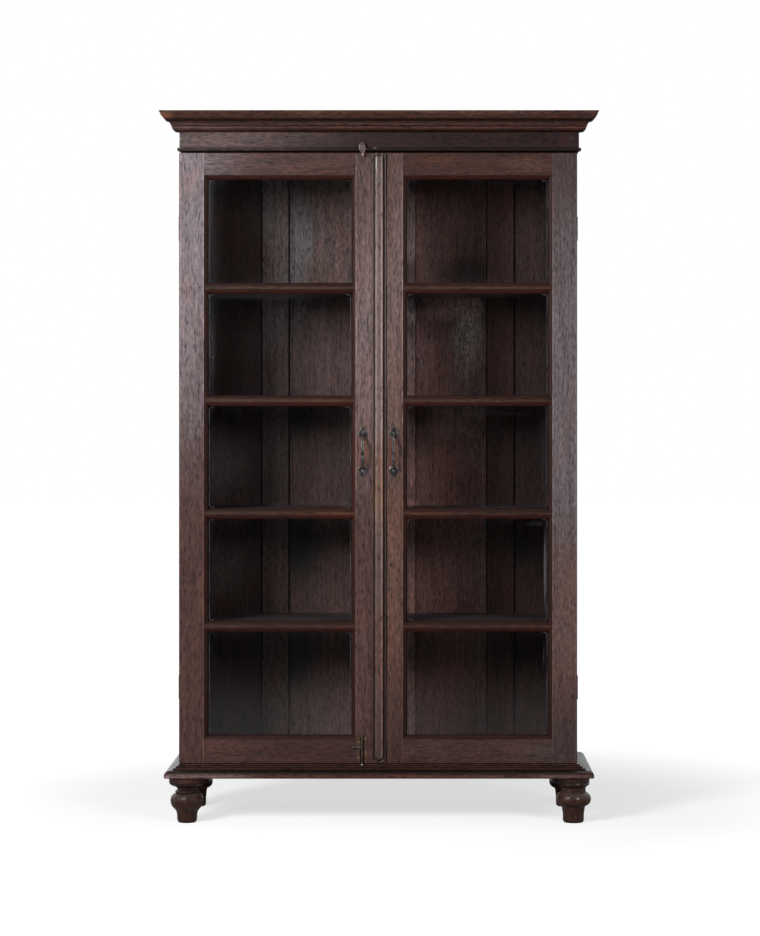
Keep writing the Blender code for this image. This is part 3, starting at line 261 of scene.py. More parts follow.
# Back boards, left to right: base colours, widths of the eased edges, spots and burrs; the spots are painted
# light and painted shadow, pools of light and shadows under the shelves and the top rail
BOARD_COLOURS = ((72, 49, 47), (112, 93, 90), (108, 86, 83), (94, 66, 61), (86, 58, 54), (82, 61, 59))
BOARD_EASING = (0.0016, 0.0024, 0.0028, 0.0019, 0.0020, 0.0024)
BOARD_SPOTS = {
    1: [(-0.40, 1.58, 0.08, 0.10, (70, 42, 35), 0.5), (-0.44, 0.78, 0.12, 0.42, (104, 80, 78), 0.9)],
    2: [(-0.30, 1.55, 0.10, 0.36, (150, 130, 128), 0.9)],
    3: [
        (-0.235, 1.55, 0.055, 0.26, (144, 132, 134), 0.8),
        (-0.25, 1.08, 0.13, 0.08, (44, 32, 32), 0.9),
        (-0.25, 0.73, 0.12, 0.14, (34, 23, 23), 0.9),
        (-0.25, 0.42, 0.12, 0.14, (34, 23, 22), 0.9),
        (0.085, 0.75, 0.03, 0.66, (168, 130, 125), 1.0),
        (0.085, 1.385, 0.03, 0.05, (200, 168, 168), 0.9),
        (0.085, 1.067, 0.03, 0.05, (200, 172, 174), 0.9),
        (0.085, 0.748, 0.03, 0.05, (206, 176, 178), 0.9),
        (0.085, 1.492, 0.035, 0.05, (72, 50, 47), 0.8),
        (0.085, 1.180, 0.035, 0.04, (120, 90, 86), 0.8),
        (0.085, 0.873, 0.035, 0.04, (134, 106, 106), 0.8),
    ],
    4: [
        (0.20, 0.72, 0.18, 0.74, (138, 102, 97), 1.0),
        (0.12, 1.30, 0.08, 0.20, (118, 88, 86), 0.8),
        (0.245, 1.34, 0.06, 0.20, (168, 148, 144), 0.9),
        (0.24, 1.49, 0.11, 0.08, (46, 34, 33), 0.8),
        (0.19, 1.398, 0.12, 0.055, (196, 160, 157), 0.95),
        (0.19, 1.070, 0.12, 0.06, (184, 152, 150), 0.9),
        (0.19, 0.750, 0.12, 0.05, (160, 124, 120), 0.9),
        (0.28, 0.72, 0.05, 0.70, (144, 116, 112), 0.7),
    ],
    6: [(0.37, 0.72, 0.10, 0.06, (44, 34, 34), 0.8), (0.37, 0.42, 0.10, 0.06, (44, 34, 34), 0.8)],
}
BOARD_BURRS = {
    3: [(-0.12, 1.56, 0.08, 0.18, 0.8)],
    4: [(0.240, 1.35, 0.060, 0.17, 1.0), (0.255, 1.06, 0.045, 0.14, 0.8)],
}

# Back boards: the heights between which they fade, with colour factors that paint them lighter above and
# darker below as light falls, and painted shade in their joints
BOARD_FADE = (
    "Z", 0.15, 1.80,
    (
        (0.0, (0.90, 0.78, 0.74)), (0.45, (0.66, 0.55, 0.53)), (0.66, (0.95, 0.90, 0.90)),
        (0.78, (1.12, 1.12, 1.12)), (1.0, (1.30, 1.34, 1.34)),
    ),
)
JOINT_SHADE = (0.05, 0.04, 0.04)

# Shelves: brightness by share of their height
SHELF_LEVELS = ((0.0, 0.7), (0.86, 0.8), (0.93, 1.9), (1.0, 1.9))

# Base colour of the plain rear boards of the crown and of the base
REAR_COLOUR = (70, 50, 46)

# Cornice and frieze: colour factors by share of their height, which paint shade in the hollows and under the
# bead and highlights on the fillets, and spots
CORNICE_STOPS = (
    (0.0, (0.40, 0.32, 0.28)), (0.06, (0.50, 0.38, 0.33)), (0.17, (0.72, 0.62, 0.58)),
    (0.235, (1.5, 1.45, 1.42)), (0.255, (0.22, 0.20, 0.20)), (0.29, (0.35, 0.3, 0.3)),
    (0.34, (1.1, 1.1, 1.1)), (0.44, (0.62, 0.55, 0.53)), (0.52, (0.24, 0.19, 0.17)),
    (0.64, (0.50, 0.42, 0.39)), (0.74, (1.25, 1.16, 1.12)), (0.84, (0.72, 0.68, 0.66)),
    (0.89, (1.1, 1.08, 1.06)), (0.95, (1.0, 0.95, 0.92)), (0.99, (0.6, 0.58, 0.56)),
    (1.0, (0.6, 0.58, 0.56)),
)
CORNICE_SPOTS = (
    (-0.57, 1.886, 0.035, 0.016, (136, 96, 74), 0.8),
    (0.58, 1.893, 0.030, 0.012, (112, 84, 72), 0.7),
    # painted sheen: a grey reflection painted on the left end
    (-0.50, 1.855, 0.22, 0.016, (108, 90, 88), 0.7),
    (-0.14, 1.893, 0.20, 0.008, (106, 78, 64), 0.6),
    (0.30, 1.894, 0.40, 0.008, (106, 82, 76), 0.8),
    (0.472, 1.873, 0.003, 0.0022, (170, 160, 155), 0.9),
    (-0.050, 1.868, 0.010, 0.003, (104, 94, 92), 0.7),
)
FRIEZE_STOPS = (
    (0.0, (0.3, 0.28, 0.27)), (0.05, (0.75, 0.72, 0.70)), (0.09, (0.9, 0.88, 0.88)),
    (0.12, (0.5, 0.45, 0.45)), (0.18, (1.0, 0.95, 0.92)), (1.0, PLAIN),
)
FRIEZE_SPOTS = (
    # painted sheen on the left part, then painted highlights at the left end; chips on the bead follow
    (-0.56, 1.83, 0.58, 0.40, (95, 79, 77), 1.0),
    (-0.533, 1.825, 0.0035, 0.014, (150, 146, 150), 0.8),
    (-0.530, 1.803, 0.010, 0.0025, (130, 128, 132), 0.8),
    (-0.0355, 1.8023, 0.0045, 0.003, (205, 195, 185), 0.9),
    (-0.0114, 1.8050, 0.0070, 0.003, (160, 150, 145), 0.9),
    (0.513, 1.832, 0.006, 0.005, (74, 68, 76), 0.6),
)

# Base moulding: colour factors by share of its height below the steps, painted light on the lower nose and
# painted shade on its top, spots, and dust on each run, which on the side runs also paints a grey sheen
BASE_STOPS = (
    (0.0, (0.75, 0.55, 0.48)), (0.06, (0.85, 0.70, 0.64)), (0.12, (1.30, 1.22, 1.20)),
    (0.24, (1.12, 1.05, 1.03)), (0.34, (0.45, 0.36, 0.33)), (0.44, (0.14, 0.11, 0.10)),
)
BASE_SPOTS = (
    # painted sheen: the first spot is a grey reflection painted on the left steps
    (-0.50, 0.127, 0.22, 0.024, (128, 110, 108), 0.85),
    (0.30, 0.132, 0.10, 0.02, (92, 72, 66), 0.7),
    (0.50, 0.130, 0.14, 0.012, (114, 93, 89), 0.8),
    # painted highlights: pale glints painted on the right end of the nose top and at both ends of the nose
    (0.560, 0.1400, 0.055, 0.0035, (250, 245, 250), 0.9),
    (0.566, 0.1245, 0.005, 0.003, (190, 160, 140), 0.8),
    (-0.562, 0.1270, 0.006, 0.003, (190, 165, 150), 0.8),
)
BASE_RUNS = (("front", "X", 0.0), ("left", "Y", 0.95), ("right", "Y", 0.75))

# Legs: painted glints on the front right leg
LEG_GLINTS = {
    "front_right": [
        (0.530, 0.0685, 0.0065, 0.0030, (176, 168, 170), 0.85),
        (0.530, 0.1068, 0.007, 0.0014, (200, 176, 162), 0.9),
        (0.525, 0.018, 0.0022, 0.006, (128, 122, 132), 0.8),
    ],
}

# Metals: colours of the patina and of the worn places, roughness and strength of the wear
METALS = {
    "old_iron": ((0.140, 0.128, 0.124), (0.52, 0.49, 0.47), 0.24, 0.5),
    "old_brass": ((0.075, 0.048, 0.040), (0.32, 0.21, 0.14), 0.46, 0.6),
    "nail_iron": ((0.010, 0.010, 0.012), (0.080, 0.080, 0.085), 0.35, 0.2),
    "bolt_iron": ((0.110, 0.080, 0.068), (0.90, 0.86, 0.78), 0.34, 0.12),
}

# Bolt barrel: colour factors by distance in metres from its middle, painted shadows up its sides and painted
# highlights beyond them, and levels above the rod's end between which the rod turns from bright, worn steel
# with a painted highlight, to dark
BARREL_EDGE = (
    (0.0022, PLAIN), (0.0032, (0.04, 0.04, 0.04)), (0.0046, (0.04, 0.04, 0.04)),
    (0.0056, (1.6, 1.5, 1.4)), (0.010, (1.6, 1.5, 1.4)),
)
ROD_BRIGHT = (0.004, 0.007)

# Glass: distances in metres from a pane's edge between which its dust thins out, strength of that
# dust, least and most dust of the smears, and share of the mirroring
EDGE_REACH = (0.012, 0.040)
EDGE_DUST = 0.014
SMEAR_DUST = (0.001, 0.012)
GLASS_MIRROR = 0.42

# Hazes on the glass and painted reflections in it: place across and up, half width, half height and strength
GLASS_HAZES_AND_REFLECTIONS = {
    "left_door_glass": (
        (-0.30, 1.414, 0.22, 0.020, 0.022),
        (-0.450, 1.26, 0.014, 0.16, 0.028),
        (-0.44, 0.96, 0.12, 0.13, 0.018),
        (-0.44, 0.68, 0.12, 0.12, 0.010),
        (-0.44, 0.36, 0.12, 0.12, 0.006),
    ),
    "right_door_glass": (
        (0.30, 1.094, 0.20, 0.006, 0.010),
        (0.45, 1.00, 0.03, 0.15, 0.014),
        (0.456, 0.36, 0.012, 0.12, 0.020),
        (0.4440, 0.675, 0.0045, 0.14, 0.20),
        (0.441, 0.445, 0.003, 0.035, 0.060),
        (0.42, 0.80, 0.03, 0.010, 0.020),
    ),
}


def tone(red, green, blue):
    """Surface colour from the screen colour it shows, less the grey of its polish."""
    linear = ((value / 255) ** SCREEN_GAMMA for value in (red, green, blue))
    return tuple(max(value - POLISH_GREY, DARKEST) for value in linear)


def grey_stops(levels):
    """Stops of a band in plain greys, from places and levels."""
    return [(where, (level, level, level)) for where, level in levels]


def add(tree, kind, sockets=None, **settings):
    """Add a node to a tree, with its settings and its inputs' values or links."""
    node = tree.nodes.new(kind)
    for key, value in settings.items():
        setattr(node, key, value)
    for key, value in (sockets or {}).items():
        if isinstance(value, bpy.types.NodeSocket):
            tree.links.new(value, node.inputs[key])
        else:
            node.inputs[key].default_value = value
    return node


def new_material(name):
    """Make a material with an empty node tree."""
    material = bpy.data.materials.new(name)
    material.use_nodes = True
    material.node_tree.nodes.clear()
    return material, material.node_tree


def show(tree, shader):
    """Make a shader the surface of a tree's material."""
    add(tree, "ShaderNodeOutputMaterial", {"Surface": shader.outputs[0]})


def object_place(tree):
    """Place of a point in its object's own coordinates."""
    return add(tree, "ShaderNodeTexCoord").outputs["Object"]


def along(tree, vector, axis):
    """One coordinate of a vector."""
    return add(tree, "ShaderNodeSeparateXYZ", {0: vector}).outputs[axis]


def noise(tree, vector, scale, detail, roughness, distortion=0.0):
    """Noise value at a scale."""
    sockets = {"Vector": vector, "Scale": scale, "Detail": detail}
    sockets |= {"Roughness": roughness, "Distortion": distortion}
    return add(tree, "ShaderNodeTexNoise", sockets).outputs["Fac"]


def grain_noise(tree, place, grain, offset, across, lengthwise, detail, roughness, distortion):
    """Noise drawn out along the grain."""
    scale = [across] * 3
    scale["XYZ".index(grain)] = lengthwise
    drawn = add(tree, "ShaderNodeMapping", {"Vector": place, "Location": offset, "Scale": scale})
    return noise(tree, drawn.outputs["Vector"], 1.0, detail, roughness, distortion)


def spread(tree, value, low, high, to_low=0.0, to_high=1.0):
    """Map a value from one range to another, smoothly and clamped."""
    sockets = {"Value": value, "From Min": low, "From Max": high}
    sockets |= {"To Min": to_low, "To Max": to_high}
    node = add(tree, "ShaderNodeMapRange", sockets, interpolation_type="SMOOTHSTEP")
    return node.outputs["Result"]


def combine(tree, operation, first, second):
    """Combine two values with a math operation."""
    return add(tree, "ShaderNodeMath", {0: first, 1: second}, operation=operation).outputs[0]


def sway(tree, start, *terms):
    """Swing a value about its start by noises, each with its own weight."""
    total = start - sum(weight for _, weight in terms) / 2
    for value, weight in terms:
        sockets = {0: value, 1: weight, 2: total}
        total = add(tree, "ShaderNodeMath", sockets, operation="MULTIPLY_ADD").outputs[0]
    return total


def scale_colour(tree, colour, level):
    """Brighten or darken a colour by a level."""
    return add(tree, "ShaderNodeVectorMath", {0: colour, "Scale": level}, operation="SCALE").outputs[0]


def mix_colour(tree, factor, first, second, blend="MIX"):
    """Mix two colours by a factor."""
    node = add(tree, "ShaderNodeMix", data_type="RGBA", blend_type=blend)
    for socket, value in ((node.inputs[0], factor), (node.inputs[6], first), (node.inputs[7], second)):
        if isinstance(value, bpy.types.NodeSocket):
            tree.links.new(value, socket)
        elif isinstance(value, tuple):
            socket.default_value = (*value, 1.0)
        else:
            socket.default_value = value
    return node.outputs[2]


def spot_mask(tree, place, waver, x, z, half_width, half_height, strength):
    """Soft-edged mask of an oval spot on the front, with a wavering outline."""
    scale = (1 / half_width, 0.0, 1 / half_height)
    location = (-x / half_width, 0.0, -z / half_height)
    nearby = add(tree, "ShaderNodeMapping", {"Vector": place, "Location": location, "Scale": scale})
    reach = add(tree, "ShaderNodeVectorMath", {0: nearby.outputs[0]}, operation="LENGTH")
    reach = sway(tree, 0.5, (waver, 0.5), (reach.outputs["Value"], 1.0))
    return spread(tree, reach, SPOT_CORE, 1.0, strength, 0.0)


def band_colours(tree, place, axis, low, high, stops):
    """Colour that changes in bands along one axis."""
    sockets = {"Value": along(tree, place, axis), "From Min": low, "From Max": high}
    level = add(tree, "ShaderNodeMapRange", sockets).outputs["Result"]
    ramp = add(tree, "ShaderNodeValToRGB", {"Fac": level})
    elements = ramp.color_ramp.elements
    elements[0].position, elements[0].color = stops[0][0], (*stops[0][1], 1.0)
    elements[1].position, elements[1].color = stops[-1][0], (*stops[-1][1], 1.0)
    for where, colour in stops[1:-1]:
        elements.new(where).color = (*colour, 1.0)
    return ramp.outputs["Color"]


def stained(tree, place, clouds, base, spots, bands, red):
    """Colour of a wood before its grain: base, spots, bands and redder clouds."""
    colour = tone(*base)
    for *where, shade, strength in spots:
        mask = spot_mask(tree, place, clouds, *where, strength)
        colour = mix_colour(tree, mask, colour, tone(*shade))
    for band in bands:
        colour = mix_colour(tree, 1.0, colour, band_colours(tree, place, *band), "MULTIPLY")
    warmth = combine(tree, "MULTIPLY", spread(tree, clouds, 0.42, 0.72), red)
    return mix_colour(tree, warmth, colour, REDDER, "MULTIPLY")


def burr_figure(tree, place, clouds, base, burrs):
    """Swirling dark and pale figure in oval patches of a colour."""
    swirl = noise(tree, place, scale=34.0, detail=3.0, roughness=0.6, distortion=3.2)
    rings = noise(tree, place, scale=120.0, detail=2.0, roughness=0.5, distortion=1.5)
    level = combine(tree, "MAXIMUM", sway(tree, 1.0, (swirl, 3.4), (rings, 1.2)), 0.15)
    swirled = scale_colour(tree, base, level)
    for *where, strength in burrs:
        base = mix_colour(tree, spot_mask(tree, place, clouds, *where, strength), base, swirled)
    return base


def paint_underside_light(tree, colour, normal, shade):
    """Multiply the colour of faces that look down, which paints light on them."""
    below = spread(tree, along(tree, normal, "Z"), -0.75, -0.25, 1.0, 0.0)
    return mix_colour(tree, below, colour, shade, "MULTIPLY")


def settle_dust(tree, colour, normal, clouds, amount):
    """Lay uneven dust on faces that look up."""
    above = spread(tree, along(tree, normal, "Z"), 0.35, 0.9)
    settled = combine(tree, "MULTIPLY", above, sway(tree, amount, (clouds, 0.3)))
    return mix_colour(tree, settled, colour, tone(*DUST_COLOUR))


def wood(
    name, base, grain, spots=(), bands=(), burrs=(), contrast=1.0, red=0.5, polish=0.44, gloss=0.4,
    dust=0.0, underside=None,
):
    """Old polished wood: long figure, fine streaks, flecks, short dark pores and uneven polish."""
    material, tree = new_material(name)
    offset = [random.uniform(-9.0, 9.0) for _ in range(3)]
    texture = add(tree, "ShaderNodeTexCoord")
    place, normal = texture.outputs["Object"], texture.outputs["Normal"]
    figure, streaks, flecks, pores, clouds = (
        grain_noise(tree, place, grain, offset, *kind) for kind in (FIGURE, STREAKS, FLECKS, PORES, CLOUDS)
    )
    colour = stained(tree, place, clouds, base, spots, bands, red)
    if burrs:
        colour = burr_figure(tree, place, clouds, colour, burrs)
    swing = sway(tree, 1.0, (figure, 1.0 * contrast), (streaks, 1.2 * contrast), (flecks, 2.2 * contrast))
    pits = spread(tree, pores, 0.32, 0.42, 0.35, 1.0)
    swing = combine(tree, "MULTIPLY", combine(tree, "MAXIMUM", swing, 0.12), pits)
    colour = scale_colour(tree, colour, swing)
    if underside:
        colour = paint_underside_light(tree, colour, normal, underside)
    if dust:
        colour = settle_dust(tree, colour, normal, clouds, dust)
    height = sway(tree, 0.5, (flecks, 0.8), (streaks, 0.6), (pits, 0.5))
    relief = add(tree, "ShaderNodeBump", {"Height": height, "Strength": 0.3, "Distance": WOOD_RELIEF})
    rough = sway(tree, polish, (clouds, 0.25), (flecks, 0.30))
    sockets = {"Base Color": colour, "Roughness": rough, "Specular IOR Level": gloss}
    sockets |= {"Normal": relief.outputs["Normal"]}
    show(tree, add(tree, "ShaderNodeBsdfPrincipled", sockets))
    return material


def metal(name, bright_below=None, bands=()):
    """Old metal: dark patina rubbed bright in patches, and bright below a level if one is given, worn steel
    with a painted highlight.
    """
    material, tree = new_material(name)
    patina, worn, roughness, wear = METALS[name]
    place = object_place(tree)
    patches = noise(tree, place, scale=70.0, detail=2.0, roughness=0.5)
    grit = noise(tree, place, scale=700.0, detail=3.0, roughness=0.6)
    rubbed = combine(tree, "MULTIPLY", spread(tree, patches, 0.42, 0.66), wear)
    if bright_below:
        bright = spread(tree, along(tree, place, "Z"), *bright_below, 1.0, 0.0)
        rubbed = combine(tree, "MAXIMUM", rubbed, bright)
    colour = mix_colour(tree, rubbed, patina, worn)
    for band in bands:
        colour = mix_colour(tree, 1.0, colour, band_colours(tree, place, *band), "MULTIPLY")
    rough = spread(tree, grit, 0.3, 0.7, roughness - 0.08, roughness + 0.14)
    relief = add(tree, "ShaderNodeBump", {"Height": grit, "Strength": 0.3, "Distance": METAL_RELIEF})
    sockets = {"Base Color": colour, "Roughness": rough, "Metallic": 1.0}
    sockets |= {"Normal": relief.outputs["Normal"]}
    show(tree, add(tree, "ShaderNodeBsdfPrincipled", sockets))
    return material


def pane_edge(tree, place, box):
    """Distance from a point of the glass to the nearest bar or stile."""
    (left, _, bottom), (right, _, top) = box
    x, z = along(tree, place, "X"), along(tree, place, "Z")
    pitch = (top - bottom) / PANES
    rise = combine(tree, "MODULO", combine(tree, "SUBTRACT", z, bottom), pitch)
    rise = combine(tree, "MINIMUM", rise, combine(tree, "SUBTRACT", pitch, rise))
    run = combine(tree, "MINIMUM", combine(tree, "SUBTRACT", x, left), combine(tree, "SUBTRACT", right, x))
    return combine(tree, "MINIMUM", rise, run)


def window_glass(name, box, hazes_and_reflections):
    """Thin old glass: clear, slightly wavy, smeared, with dust along the pane edges, hazes and painted
    reflections.
    """
    material, tree = new_material(name)
    place = object_place(tree)
    waves = noise(tree, place, scale=4.0, detail=0.0, roughness=0.4)
    smears = noise(tree, place, scale=13.0, detail=6.0, roughness=0.7, distortion=1.5)
    edge = spread(tree, pane_edge(tree, place, box), *EDGE_REACH, EDGE_DUST, 0.0)
    edge = combine(tree, "MULTIPLY", edge, spread(tree, smears, 0.42, 0.68))
    dust = combine(tree, "ADD", edge, spread(tree, smears, 0.58, 0.88, *SMEAR_DUST))
    # the pale patches are hazes and painted reflections, added to the dust as the same pale film
    for pale_patch in hazes_and_reflections:
        dust = combine(tree, "ADD", dust, spot_mask(tree, place, smears, *pale_patch))
    clear = add(tree, "ShaderNodeBsdfTransparent", {"Color": (0.93, 0.95, 0.95, 1.0)})
    film = add(tree, "ShaderNodeBsdfDiffuse", {"Color": (0.36, 0.33, 0.34, 1.0)})
    dusty = add(tree, "ShaderNodeMixShader", {0: dust, 1: clear.outputs[0], 2: film.outputs[0]})
    relief = add(tree, "ShaderNodeBump", {"Height": waves, "Strength": 0.04, "Distance": 0.006})
    sockets = {"Color": (*PLAIN, 1.0), "Roughness": 0.06, "Normal": relief.outputs["Normal"]}
    gloss = add(tree, "ShaderNodeBsdfGlossy", sockets)
    fresnel = add(tree, "ShaderNodeFresnel", {"IOR": 1.45})
    mirror = combine(tree, "MULTIPLY", fresnel.outputs[0], GLASS_MIRROR)
    show(tree, add(tree, "ShaderNodeMixShader", {0: mirror, 1: dusty.outputs[0], 2: gloss.outputs[0]}))
    return material


def edge_line(name):
    """Dull silver, broken by dark stretches, of the lines along the glass edges."""
    material, tree = new_material(name)
    breaks = noise(tree, object_place(tree), scale=30.0, detail=5.0, roughness=0.7)
    colour = mix_colour(tree, spread(tree, breaks, 0.40, 0.62), tone(26, 23, 24), tone(100, 95, 97))
    show(tree, add(tree, "ShaderNodeBsdfPrincipled", {"Base Color": colour, "Roughness": 0.5}))
    return material


def dress(name, material):
    """Give a CAD node its material."""
    for slot in NODES[name].material_slots:
        slot.material = material


def arris_band(name):
    """Worn arris with a painted highlight along the glazed side of a stile, a weaker rubbed one with painted
    shade at its edge along a hinged side.
    """
    (left, _, _), (right, _, _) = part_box(name)
    width = right - left
    far_side = HINGED_ARRIS if name.endswith("hinge_stile") else ((0.0, PLAIN),)
    stops = [(distance / width, shade) for distance, shade in GLAZED_ARRIS]
    stops += [(1 - distance / width, shade) for distance, shade in far_side]
    glazed_on_right = name in ("left_door_hinge_stile", "right_door_meeting_stile")
    if glazed_on_right:
        stops = [(1.0 - where, shade) for where, shade in reversed(stops)]
    return ("X", left, right, stops)


def astragal_bands():
    """Painted shade in the grooves and painted highlights on the edges across the astragal, and painted
    shade deep in its grooves.
    """
    (left, _, _), (right, _, _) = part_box("astragal")
    crest, groove = (FACE - out for out in GROOVE_SHADE)
    return [("X", left, right, grey_stops(ASTRAGAL_LEVELS)), ("Y", crest, groove, grey_stops(GROOVE_LEVELS))]


def front_wood(name, bands, contrast=1.0):
    """Wood of a piece of the front."""
    base, grain, spots = FRONT_WOODS[name]
    return wood(name + "_wood", base, grain, spots, bands, contrast=contrast)


def dress_front():
    """Doors, sides and turn button: a painted grey sheen high on the left, a weaker one lower on the right.
    """
    for name in FRONT_WOODS:
        if name == "astragal":
            build_astragal(front_wood(name, astragal_bands(), contrast=0.6))
        else:
            bands = [arris_band(name)] if name.endswith("stile") else []
            dress(name, front_wood(name, bands))


def dress_glazing_bars():
    """Bars: a pale nose, rubbed and with a painted highlight, between dark red flanks in painted shade, with
    painted light below; plain beads behind the glass.
    """
    nose_depth, nose = BAR_NOSE
    flank_depth, flank = BAR_FLANK
    stops = (
        (0.0, nose), (nose_depth / BAR_DEPTH, nose), (flank_depth / BAR_DEPTH, flank), (0.6, flank),
        (1.0, BAR_DEEP_SHADE),
    )
    bands = [("Y", FACE, FACE + BAR_DEPTH, stops)]
    for word in ("left_door", "right_door"):
        (left, _, _), (right, _, _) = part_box(word + "_glazing_bars")
        spots = [
            ((left + right) / 2 - 0.1, 1.4, 0.4, 0.5, (76, 56, 50), 0.7),
            (-0.12, 0.95, 0.20, 0.30, (96, 61, 47), 0.7),
            (0.10, 0.80, 0.12, 0.10, (84, 56, 46), 0.8),
        ]
        bars = wood(
            word + "_bar_wood", (68, 48, 41), "X", spots, bands, contrast=0.8, red=0.3, gloss=0.22,
            underside=BAR_UNDERSIDE_LIGHT,
        )
        dress(word + "_glazing_bars", bars)
        dress(word + "_glazing_beads", wood(word + "_bead_wood", (52, 34, 29), "Z"))


def ease_edges(name, width):
    """Ease the edges of a CAD node with a narrow bevel."""
    NODES[name].modifiers.new("joined corners", "WELD").merge_threshold = 0.00001
    easing = NODES[name].modifiers.new("eased edges", "BEVEL")
    easing.width = width
    easing.segments = 1
    easing.limit_method = "ANGLE"


def dress_back_boards():
    """Back boards: painted light, grey-brown above, and painted shade, redder below, with painted pools of
    light and shadows, eased edges and painted shade in the joints.
    """
    (_, front, _), (_, back, _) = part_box("back_board_1")
    across_joint = (
        (0.0, PLAIN), (0.02, PLAIN), (0.06, JOINT_SHADE), (0.95, JOINT_SHADE), (0.99, PLAIN), (1.0, PLAIN),
    )
    bands = [BOARD_FADE, ("Y", front, back, across_joint)]
    for number, (base, easing) in enumerate(zip(BOARD_COLOURS, BOARD_EASING), start=1):
        name = f"back_board_{number}"
        spots = BOARD_SPOTS.get(number, ())
        burrs = BOARD_BURRS.get(number, ())
        dress(name, wood(name + "_wood", base, "Z", spots, bands, burrs, contrast=1.1, polish=0.55))
        ease_edges(name, easing)


def dress_shelves():
    """Shelves, floor and ceiling: darker below and lighter along their top edges, painted light under the
    top shelf and a little dust; plain rear board of the crown.
    """
    for name in ("shelf_1", "shelf_2", "shelf_3", "shelf_4", "floor_board", "ceiling_board"):
        (_, _, low), (_, _, high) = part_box(name)
        # painted light: the spot on the top shelf lightens its lower face
        spots = [(0.28, low, 0.30, 0.10, (125, 100, 96), 1.0)] if name == "shelf_4" else []
        bands = [("Z", low, high, grey_stops(SHELF_LEVELS))]
        dress(name, wood(name + "_wood", (58, 42, 39), "X", spots, bands, polish=0.6, dust=0.1))
    dress("frieze_rear", wood("frieze_rear_wood", REAR_COLOUR, "X"))


def dress_crown():
    """Crown: painted shade in the hollows and under the bead, painted highlights on the fillets, worn
    corners, painted grey sheen on the left end and a few chips on the bead.
    """
    (_, _, low), (_, _, high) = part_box("cornice_front")
    bands = [("Z", low, high, CORNICE_STOPS)]
    build_cornice(wood("cornice_wood", (84, 61, 55), "X", CORNICE_SPOTS, bands, contrast=1.1, gloss=0.22))
    dress("top_board", wood("top_board_wood", (78, 58, 54), "X", dust=0.5))
    (_, _, low), (_, _, high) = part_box("frieze_front")
    bands = [("Z", low, high, FRIEZE_STOPS)]
    for side, grain in (("front", "X"), ("left", "Y"), ("right", "Y")):
        name = f"frieze_{side}"
        dress(name, wood(name + "_wood", (50, 33, 29), grain, FRIEZE_SPOTS, bands, contrast=1.2))


def base_band():
    """Brightness up the base moulding: painted light on the lower nose, painted shade on the nose top and on
    each tread, and a painted highlight on each tread's edge.
    """
    (_, _, bottom), (_, _, top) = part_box("base_moulding_front")
    height = top - bottom
    stops = [*BASE_STOPS, (1 - (BASE_TREADS * TREAD_RISE + TREAD_SHADE) / height, (0.05, 0.04, 0.04))]
    for tread in range(BASE_TREADS, 0, -1):
        foot = 1 - tread * TREAD_RISE / height
        edge = 1 - ((tread - 1) * TREAD_RISE + TREAD_HIGHLIGHT) / height
        stops += [(foot + 0.01, (0.18, 0.16, 0.16)), (edge - 0.05, (0.26, 0.22, 0.22))]
        stops.append((edge, (1.1, 1.06, 1.04)))
    stops.append((1.0, (0.9, 0.88, 0.86)))
    return ("Z", bottom, top, stops)


def leg_band(place):
    """Painted shade in the grooves of a turned leg with a painted highlight above each, darker at its foot
    and lighter at its top.
    """
    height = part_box("leg_" + place)[1][2]
    down, up = GROOVE_REACH
    stops = [(0.0, (0.7, 0.6, 0.58)), (0.05, (1.0, 0.9, 0.88))]
    for groove in sorted(LEG_GROOVES.get(place, ())):
        level = groove / height
        stops += [(level - down, PLAIN), (level, (0.14, 0.12, 0.12)), (level + up, (1.35, 1.25, 1.2))]
    stops.append((1.0, (1.3, 1.2, 1.12)))
    return ("Z", 0.0, height, stops)


def dress_base():
    """Base frame and legs: painted shade on the treads, painted light on the lower nose, dust and painted
    sheen on the side runs, and glossy dark legs with painted glints.
    """
    bands = [base_band()]
    for side, grain, dust in BASE_RUNS:
        name = f"base_moulding_{side}"
        dress(name, wood(name + "_wood", (85, 61, 55), grain, BASE_SPOTS, bands, gloss=0.18, dust=dust))
    dress("base_rear_rail", wood("rear_rail_wood", REAR_COLOUR, "X"))
    for place in ("front_left", "front_right", "rear_left", "rear_right"):
        name = f"leg_{place}"
        spots = LEG_GLINTS.get(place, ())
        leg = wood(
            name + "_wood", (66, 47, 41), "Z", spots, [leg_band(place)], contrast=0.8, polish=0.36,
            gloss=0.33, dust=0.06,
        )
        dress(name, leg)


def barrel_band():
    """Painted shadows up both sides of the bolt's barrel, painted highlights on the brass beyond them."""
    (left, _, _), (right, _, _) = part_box("bolt_plate")
    middle = (left + right) / 2
    reach = BARREL_EDGE[-1][0]
    stops = [(0.5 - offset / (2 * reach), shade) for offset, shade in reversed(BARREL_EDGE)]
    stops += [(0.5 + offset / (2 * reach), shade) for offset, shade in BARREL_EDGE]
    return ("X", middle - reach, middle + reach, stops)


def dress_metals():
    """Iron hinges, handles and nail, brown brass bolt plate, and a rod with a painted highlight on its worn
    end.
    """
    iron = metal("old_iron")
    for name in NODES:
        if name.endswith(("leaf", "handle")):
            dress(name, iron)
    dress("turn_button_nail", metal("nail_iron"))
    dress("bolt_plate", metal("old_brass", bands=[barrel_band()]))
    rod_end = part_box("bolt_rod")[0][2]
    bright_below = tuple(rod_end + level for level in ROD_BRIGHT)
    dress("bolt_rod", metal("bolt_iron", bright_below))


def dress_glass():
    """Glass of both doors, each with its own hazes and painted reflections."""
    for name, hazes_and_reflections in GLASS_HAZES_AND_REFLECTIONS.items():
        dress(name, window_glass(name + "_pane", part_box(name), hazes_and_reflections))


